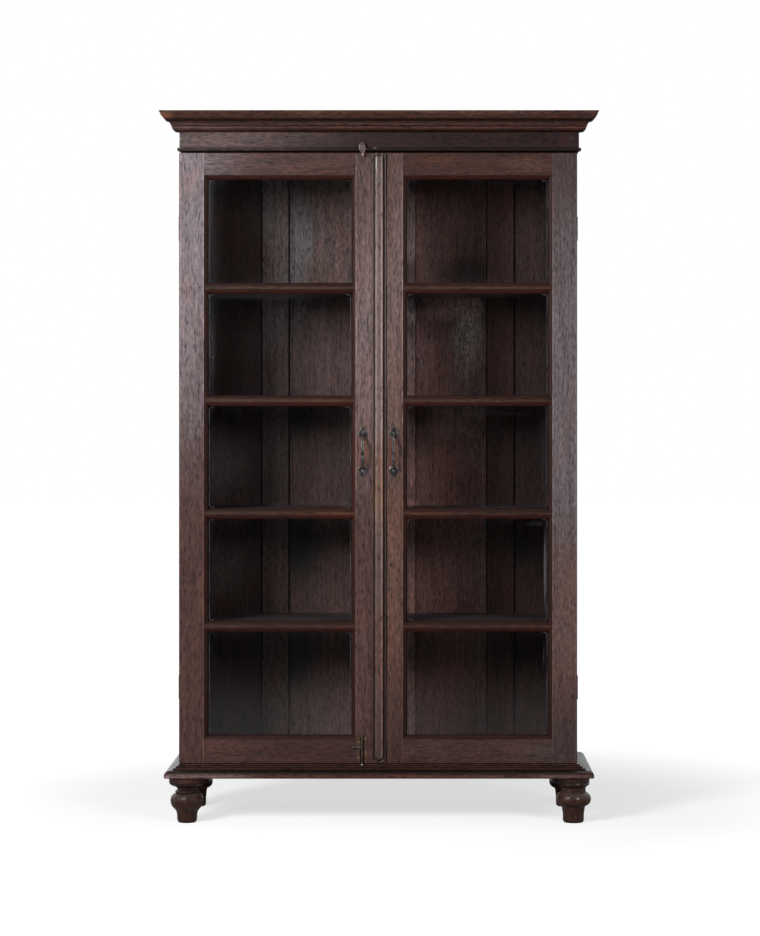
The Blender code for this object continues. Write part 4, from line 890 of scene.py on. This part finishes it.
def new_piece(name, verts, faces, material, body, smooth=True):
    """Make a mesh piece that rides on a body."""
    mesh = bpy.data.meshes.new(name)
    mesh.from_pydata(verts, [], faces)
    mesh.materials.append(material)
    if smooth:
        mesh.shade_smooth()
        mesh.set_sharp_from_angle(angle=math.radians(SMOOTH_ANGLE))
    piece = bpy.data.objects.new(name, mesh)
    bpy.context.scene.collection.objects.link(piece)
    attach(piece, body)
    return piece


def loft_faces(rings, count, first=0):
    """Faces of a capped loft whose rings of points follow each other."""
    faces = []
    for ring in range(rings - 1):
        low = first + ring * count
        high = low + count
        for index in range(count):
            following = (index + 1) % count
            faces.append((low + index, low + following, high + following, high + index))
    faces.append(tuple(range(first + count - 1, first - 1, -1)))
    faces.append(tuple(range(first + (rings - 1) * count, first + rings * count)))
    return faces


def arc_points(centre, radius, start, end, steps):
    """Points along an arc, angles in degrees."""
    points = []
    for step in range(steps + 1):
        angle = math.radians(start + (end - start) * step / steps)
        points.append((centre[0] + radius * math.cos(angle), centre[1] + radius * math.sin(angle)))
    return points


def build_astragal(material):
    """Astragal with a fine bead, a groove and a broad flat reed, round at its foot."""
    (left, _, bottom), (right, _, top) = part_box("astragal")
    middle = (left + right) / 2
    half_width = (right - left) / 2
    verts = []
    for inset, rise in ASTRAGAL_SECTION:
        half = half_width - inset
        corner = max(ASTRAGAL_TOP_CORNER - inset, half / 2)
        level = top - inset - corner
        ring = arc_points((0.0, bottom + half_width), half, 180, 360, ASTRAGAL_FOOT_STEPS)
        ring += arc_points((half - corner, level), corner, 0, 90, ASTRAGAL_CORNER_STEPS)
        ring += arc_points((corner - half, level), corner, 90, 180, ASTRAGAL_CORNER_STEPS)
        verts += [(x + middle, FACE - rise, z) for x, z in ring]
    rings = len(ASTRAGAL_SECTION)
    faces = loft_faces(rings, len(verts) // rings)
    piece = new_piece("astragal_moulding", verts, faces, material, "left_door")
    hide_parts("astragal")


def line_path(side, near, far, low, high, inward):
    """Hooked path up one side of a pane, at a distance in from its edge."""
    radius = LINE_CORNER - inward
    middle = far - LINE_CORNER if side > 0 else near + LINE_CORNER
    upper = arc_points((middle, high - LINE_CORNER), radius, 90, 0, LINE_STEPS)
    lower = arc_points((middle, low + LINE_CORNER), radius, 0, -90, LINE_STEPS)
    path = [(middle - LINE_HOOK, high - inward)] + upper + lower + [(middle - LINE_HOOK, low + inward)]
    if side < 0:
        path = [(2 * middle - x, z) for x, z in path]
    return path


def build_edge_lines(material):
    """Fine silver line up both sides of every pane, turning in at the corners."""
    section = ((0.0, 0.0), (0.0, LINE_RISE), (LINE_WIDTH, LINE_RISE), (LINE_WIDTH, 0.0))
    edge = SASH_WIDTH + LINE_INSET
    for word in ("left_door", "right_door"):
        (left, _, bottom), (right, _, top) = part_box(word + "_glazing_bars")
        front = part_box(word + "_glass")[0][1] - PIECE_GAP
        pitch = (top - bottom) / PANES
        verts = []
        faces = []
        for pane in range(PANES):
            low = bottom + pane * pitch + edge + (BAR_WEB / 2 if pane else 0.0)
            high = bottom + (pane + 1) * pitch - edge - (BAR_WEB / 2 if pane < PANES - 1 else 0.0)
            for side in (-1, 1):
                paths = []
                for inward, out in section:
                    path = line_path(side, left + edge, right - edge, low, high, inward)
                    paths.append([(x, front - out, z) for x, z in path])
                first = len(verts)
                for ring in zip(*paths):
                    verts += ring
                faces += loft_faces(len(paths[0]), len(section), first)
        piece = new_piece(word + "_pane_lines", verts, faces, material, word, smooth=False)


def build_cornice(material):
    """Cornice with fine fillets and quirks, mitred at the corners and returned at the ends."""
    (left, _, _), (_, rear, _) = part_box("cornice_left")
    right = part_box("cornice_right")[1][0]
    (_, front, bottom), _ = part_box("cornice_front")
    reach = max(out for out, _ in CORNICE_SECTION)
    left, right, face = left + reach, right - reach, front + reach
    corners = ((-1, True), (-1, False), (1, False), (1, True))
    verts = []
    for side, at_rear in corners:
        for out, up in CORNICE_SECTION:
            x = (left if side < 0 else right) + side * out
            verts.append((x, rear if at_rear else face - out, bottom + up))
    faces = loft_faces(len(corners), len(CORNICE_SECTION))
    piece = new_piece("cornice", verts, faces, material, "case")
    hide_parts("cornice_front", "cornice_left", "cornice_right")


def build_pegs(material):
    """Low domed ends of the pegs that pin the bars to the stiles."""
    last_angle = 360 - 360 / PEG_SIDES
    for word, places in PEGS.items():
        verts = []
        faces = []
        for place in places:
            first = len(verts)
            for share, out in PEG_SECTION:
                ring = arc_points(place, PEG_RADIUS * share, 0, last_angle, PEG_SIDES - 1)
                verts += [(x, FACE - PIECE_GAP - out, z) for x, z in ring]
            faces += loft_faces(len(PEG_SECTION), PEG_SIDES, first)
        piece = new_piece(word + "_pegs", verts, faces, material, word)


def add_light(name, place, target, size, power, colour):
    """Add a soft rectangular lamp aimed at a point."""
    data = bpy.data.lights.new(name, "AREA")
    data.shape = "RECTANGLE"
    data.size, data.size_y = size
    data.energy = power
    data.color = colour
    lamp = bpy.data.objects.new(name, data)
    lamp.location = place
    aim = Vector(target) - Vector(place)
    lamp.rotation_euler = aim.to_track_quat("-Z", "Y").to_euler()
    lamp.visible_camera = False
    bpy.context.scene.collection.objects.link(lamp)


def add_plane(name, corners, material):
    """Add a flat stage piece."""
    mesh = bpy.data.meshes.new(name)
    mesh.from_pydata(corners, [], [range(len(corners))])
    mesh.materials.append(material)
    plane = bpy.data.objects.new(name, mesh)
    bpy.context.scene.collection.objects.link(plane)
    return plane


def build_floor():
    """Pale floor that turns white away from the cabinet and dark far in front of it."""
    material, tree = new_material("pale_floor")
    place = object_place(tree)
    pale = spread(tree, along(tree, place, "Y"), *FLOOR_TURN, *FLOOR_GREYS)
    diffuse = add(tree, "ShaderNodeBsdfDiffuse", {"Color": pale})
    seen = add(tree, "ShaderNodeLightPath").outputs["Is Camera Ray"]
    away = add(tree, "ShaderNodeVectorMath", {0: place}, operation="LENGTH").outputs["Value"]
    strength = combine(tree, "MULTIPLY", seen, spread(tree, away, *FLOOR_FADE, *FLOOR_GLOW))
    lift = add(tree, "ShaderNodeEmission", {"Strength": strength})
    show(tree, add(tree, "ShaderNodeAddShader", {0: diffuse.outputs[0], 1: lift.outputs[0]}))
    ends = (-FLOOR_REACH, FLOOR_REACH)
    near, far = ([(x, y, 0.0) for x in ends] for y in ends)
    add_plane("floor", near + far[::-1], material)


def build_wall():
    """Dark studio wall far in front of the cabinet that only its reflections show."""
    material, tree = new_material("dark_wall")
    show(tree, add(tree, "ShaderNodeBsdfDiffuse", {"Color": (0.02, 0.02, 0.022, 1.0)}))
    ends = (-WALL_HALF_WIDTH, WALL_HALF_WIDTH)
    low, high = ([(x, WALL_PLACE, z) for x in ends] for z in (0.0, WALL_HEIGHT))
    wall = add_plane("studio_wall", low + high[::-1], material)
    wall.visible_camera = False
    wall.visible_diffuse = False
    wall.visible_shadow = False
    wall.visible_transmission = False


def build_world():
    """White surround for what looks at it, weak ambient light for what it lights."""
    world = bpy.data.worlds.new("surround")
    bpy.context.scene.world = world
    world.use_nodes = True
    tree = world.node_tree
    tree.nodes.clear()
    path = add(tree, "ShaderNodeLightPath")
    shown = combine(tree, "MAXIMUM", path.outputs["Is Camera Ray"], path.outputs["Is Glossy Ray"])
    shown = combine(tree, "MAXIMUM", shown, path.outputs["Is Transmission Ray"])
    ambient = add(tree, "ShaderNodeBackground", {"Color": (0.96, 0.98, 1.0, 1.0), "Strength": 0.04})
    white = add(tree, "ShaderNodeBackground", {"Color": (1.0, 1.0, 1.0, 1.0), "Strength": 1.0})
    both = add(tree, "ShaderNodeMixShader", {0: shown, 1: ambient.outputs[0], 2: white.outputs[0]})
    add(tree, "ShaderNodeOutputWorld", {"Surface": both.outputs[0]})


def build_camera():
    """Level camera in front of the cabinet, a little right of its middle."""
    data = bpy.data.cameras.new("camera")
    data.lens = CAMERA_LENS
    data.sensor_width = CAMERA_SENSOR
    data.shift_x, data.shift_y = CAMERA_SHIFT
    camera = bpy.data.objects.new("camera", data)
    camera.location = CAMERA_PLACE
    camera.rotation_euler = (math.pi / 2, 0.0, 0.0)
    bpy.context.scene.collection.objects.link(camera)
    bpy.context.scene.camera = camera


build_camera()
dress_front()
dress_glazing_bars()
dress_back_boards()
dress_shelves()
dress_crown()
dress_base()
dress_metals()
dress_glass()
build_edge_lines(edge_line("pane_line"))
build_pegs(wood("peg_wood", (34, 24, 22), "Z"))
build_floor()
build_wall()
build_world()
for lamp_name, lamp_settings in LAMPS.items():
    add_light(lamp_name, *lamp_settings)
bpy.context.scene.view_settings.view_transform = "Standard"

bpy.context.view_layer.update()
